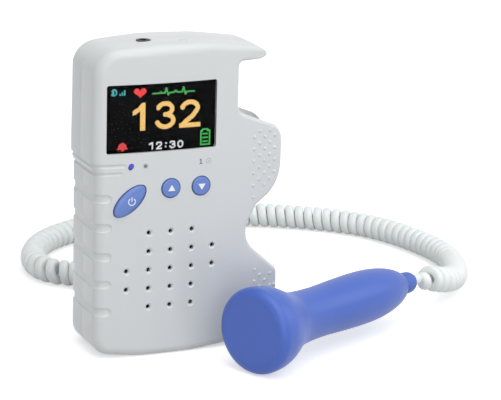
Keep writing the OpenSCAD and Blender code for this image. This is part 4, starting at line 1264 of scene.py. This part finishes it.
def woven(name, colour, threads_per_mm):
    """Cloth: two sets of crossing threads."""
    finish = moulded(name, colour, 0.85, grain=2, depth=0.01, cloud=0.2, shade=0.2, spread=0.05)
    tree = finish.node_tree
    where = node_of(tree, "TEX_COORD")
    bump = node_of(tree, "BUMP")
    threads = []
    for way in ("X", "Z"):
        thread = tree.nodes.new("ShaderNodeTexWave")
        thread.bands_direction = way
        thread.inputs["Scale"].default_value = threads_per_mm * 1000 / 20 * math.tau
        tree.links.new(where.outputs["Object"], thread.inputs["Vector"])
        threads.append(thread)
    cross = tree.nodes.new("ShaderNodeMath")
    cross.operation = "MAXIMUM"
    for i, thread in enumerate(threads):
        tree.links.new(thread.outputs["Fac"], cross.inputs[i])
    tree.links.new(cross.outputs[0], bump.inputs["Height"])
    bump.inputs["Distance"].default_value = 0.05 * MM
    return finish


def circuit(name):
    """A lacquered green board with paler lines of copper below the lacquer."""
    finish = moulded(name, (0.012, 0.13, 0.045), 0.3, grain=4, depth=0.004, cloud=0.2, shade=0.12, coat=0.4)
    tree = finish.node_tree
    surface = tree.nodes["Principled BSDF"]
    where = node_of(tree, "TEX_COORD")
    tracks = tree.nodes.new("ShaderNodeTexBrick")
    tracks.inputs["Scale"].default_value = 120
    tracks.inputs["Mortar Size"].default_value = 0.03
    for socket, colour in (("Color1", (0.012, 0.12, 0.04, 1)), ("Color2", (0.016, 0.15, 0.055, 1)),
                           ("Mortar", (0.06, 0.32, 0.13, 1))):
        tracks.inputs[socket].default_value = colour
    flat = tree.nodes.new("ShaderNodeMapping")
    flat.inputs["Rotation"].default_value = (math.pi / 2, 0, 0)
    tree.links.new(where.outputs["Object"], flat.inputs["Vector"])
    tree.links.new(flat.outputs["Vector"], tracks.inputs["Vector"])
    tree.links.new(tracks.outputs["Color"], surface.inputs["Base Color"])
    return finish


steel = brushed("steel_drawn", (0.55, 0.56, 0.58), 0.32, (1, 1, 14))
black_plastic = moulded("black_abs", (0.012, 0.012, 0.014), 0.45, grain=3, depth=0.006, cloud=0.1, shade=0.15)
panel_black = moulded("panel_black", (0.0015, 0.0015, 0.002), 0.25, grain=6, depth=0.001, cloud=0.05, shade=0.1)
panel_black.node_tree.nodes["Principled BSDF"].inputs["Specular IOR Level"].default_value = 0.04
diffuser = moulded("diffuser_white", (0.82, 0.83, 0.85), 0.4, grain=2, depth=0.002, cloud=0.05, shade=0.03,
                   subsurface=0.2)
film = moulded("film_amber", (0.62, 0.24, 0.03), 0.3, grain=2, depth=0.002, cloud=0.3, shade=0.1, coat=0.3)
board = circuit("board_green")
paper_black = moulded("cone_paper", (0.014, 0.014, 0.016), 0.8, grain=1.6, depth=0.03, cloud=0.4, shade=0.25)
foam = moulded("foam_grey", (0.035, 0.035, 0.035), 0.95, grain=2.2, depth=0.12, cloud=0.5, shade=0.3)
cloth = woven("cloth_black", (0.008, 0.008, 0.009), 3.0)
wrap = moulded("cell_wrap", (0.03, 0.085, 0.035), 0.28, grain=1, depth=0.002, cloud=0.08, shade=0.15, coat=0.3)
ceramic = moulded("fired_ceramic", (0.69, 0.66, 0.55), 0.35, grain=4, depth=0.004, cloud=0.3, shade=0.06)
resin = moulded("cast_resin", (0.075, 0.065, 0.055), 0.5, grain=1.5, depth=0.02, cloud=0.3, shade=0.2)
for finish, names in (
        (steel, ("door_hinge_pin", "case_screws", "board_screws", "battery_contacts", "battery_springs",
                 "speaker_magnet")),
        (black_plastic, ("board_chips", "power_plunger", "up_plunger", "down_plunger", "power_switch",
                         "up_switch", "down_switch", "speaker_basket", "earphone_jack", "cord_clamp")),
        (panel_black, ("display_panel", "display_frame")), (diffuser, ("display_backlight", "status_led")),
        (film, ("display_ribbon",)), (board, ("main_board", "probe_board")), (paper_black, ("speaker_cone",)),
        (foam, ("speaker_gasket",)), (cloth, ("grille_cloth",)), (wrap, ("battery_cells",)),
        (ceramic, ("transmit_crystal", "receive_crystal")), (resin, ("crystal_backing",))):
    for name in names:
        part = bpy.data.objects[name]
        part.data.materials.clear()
        part.data.materials.append(finish)
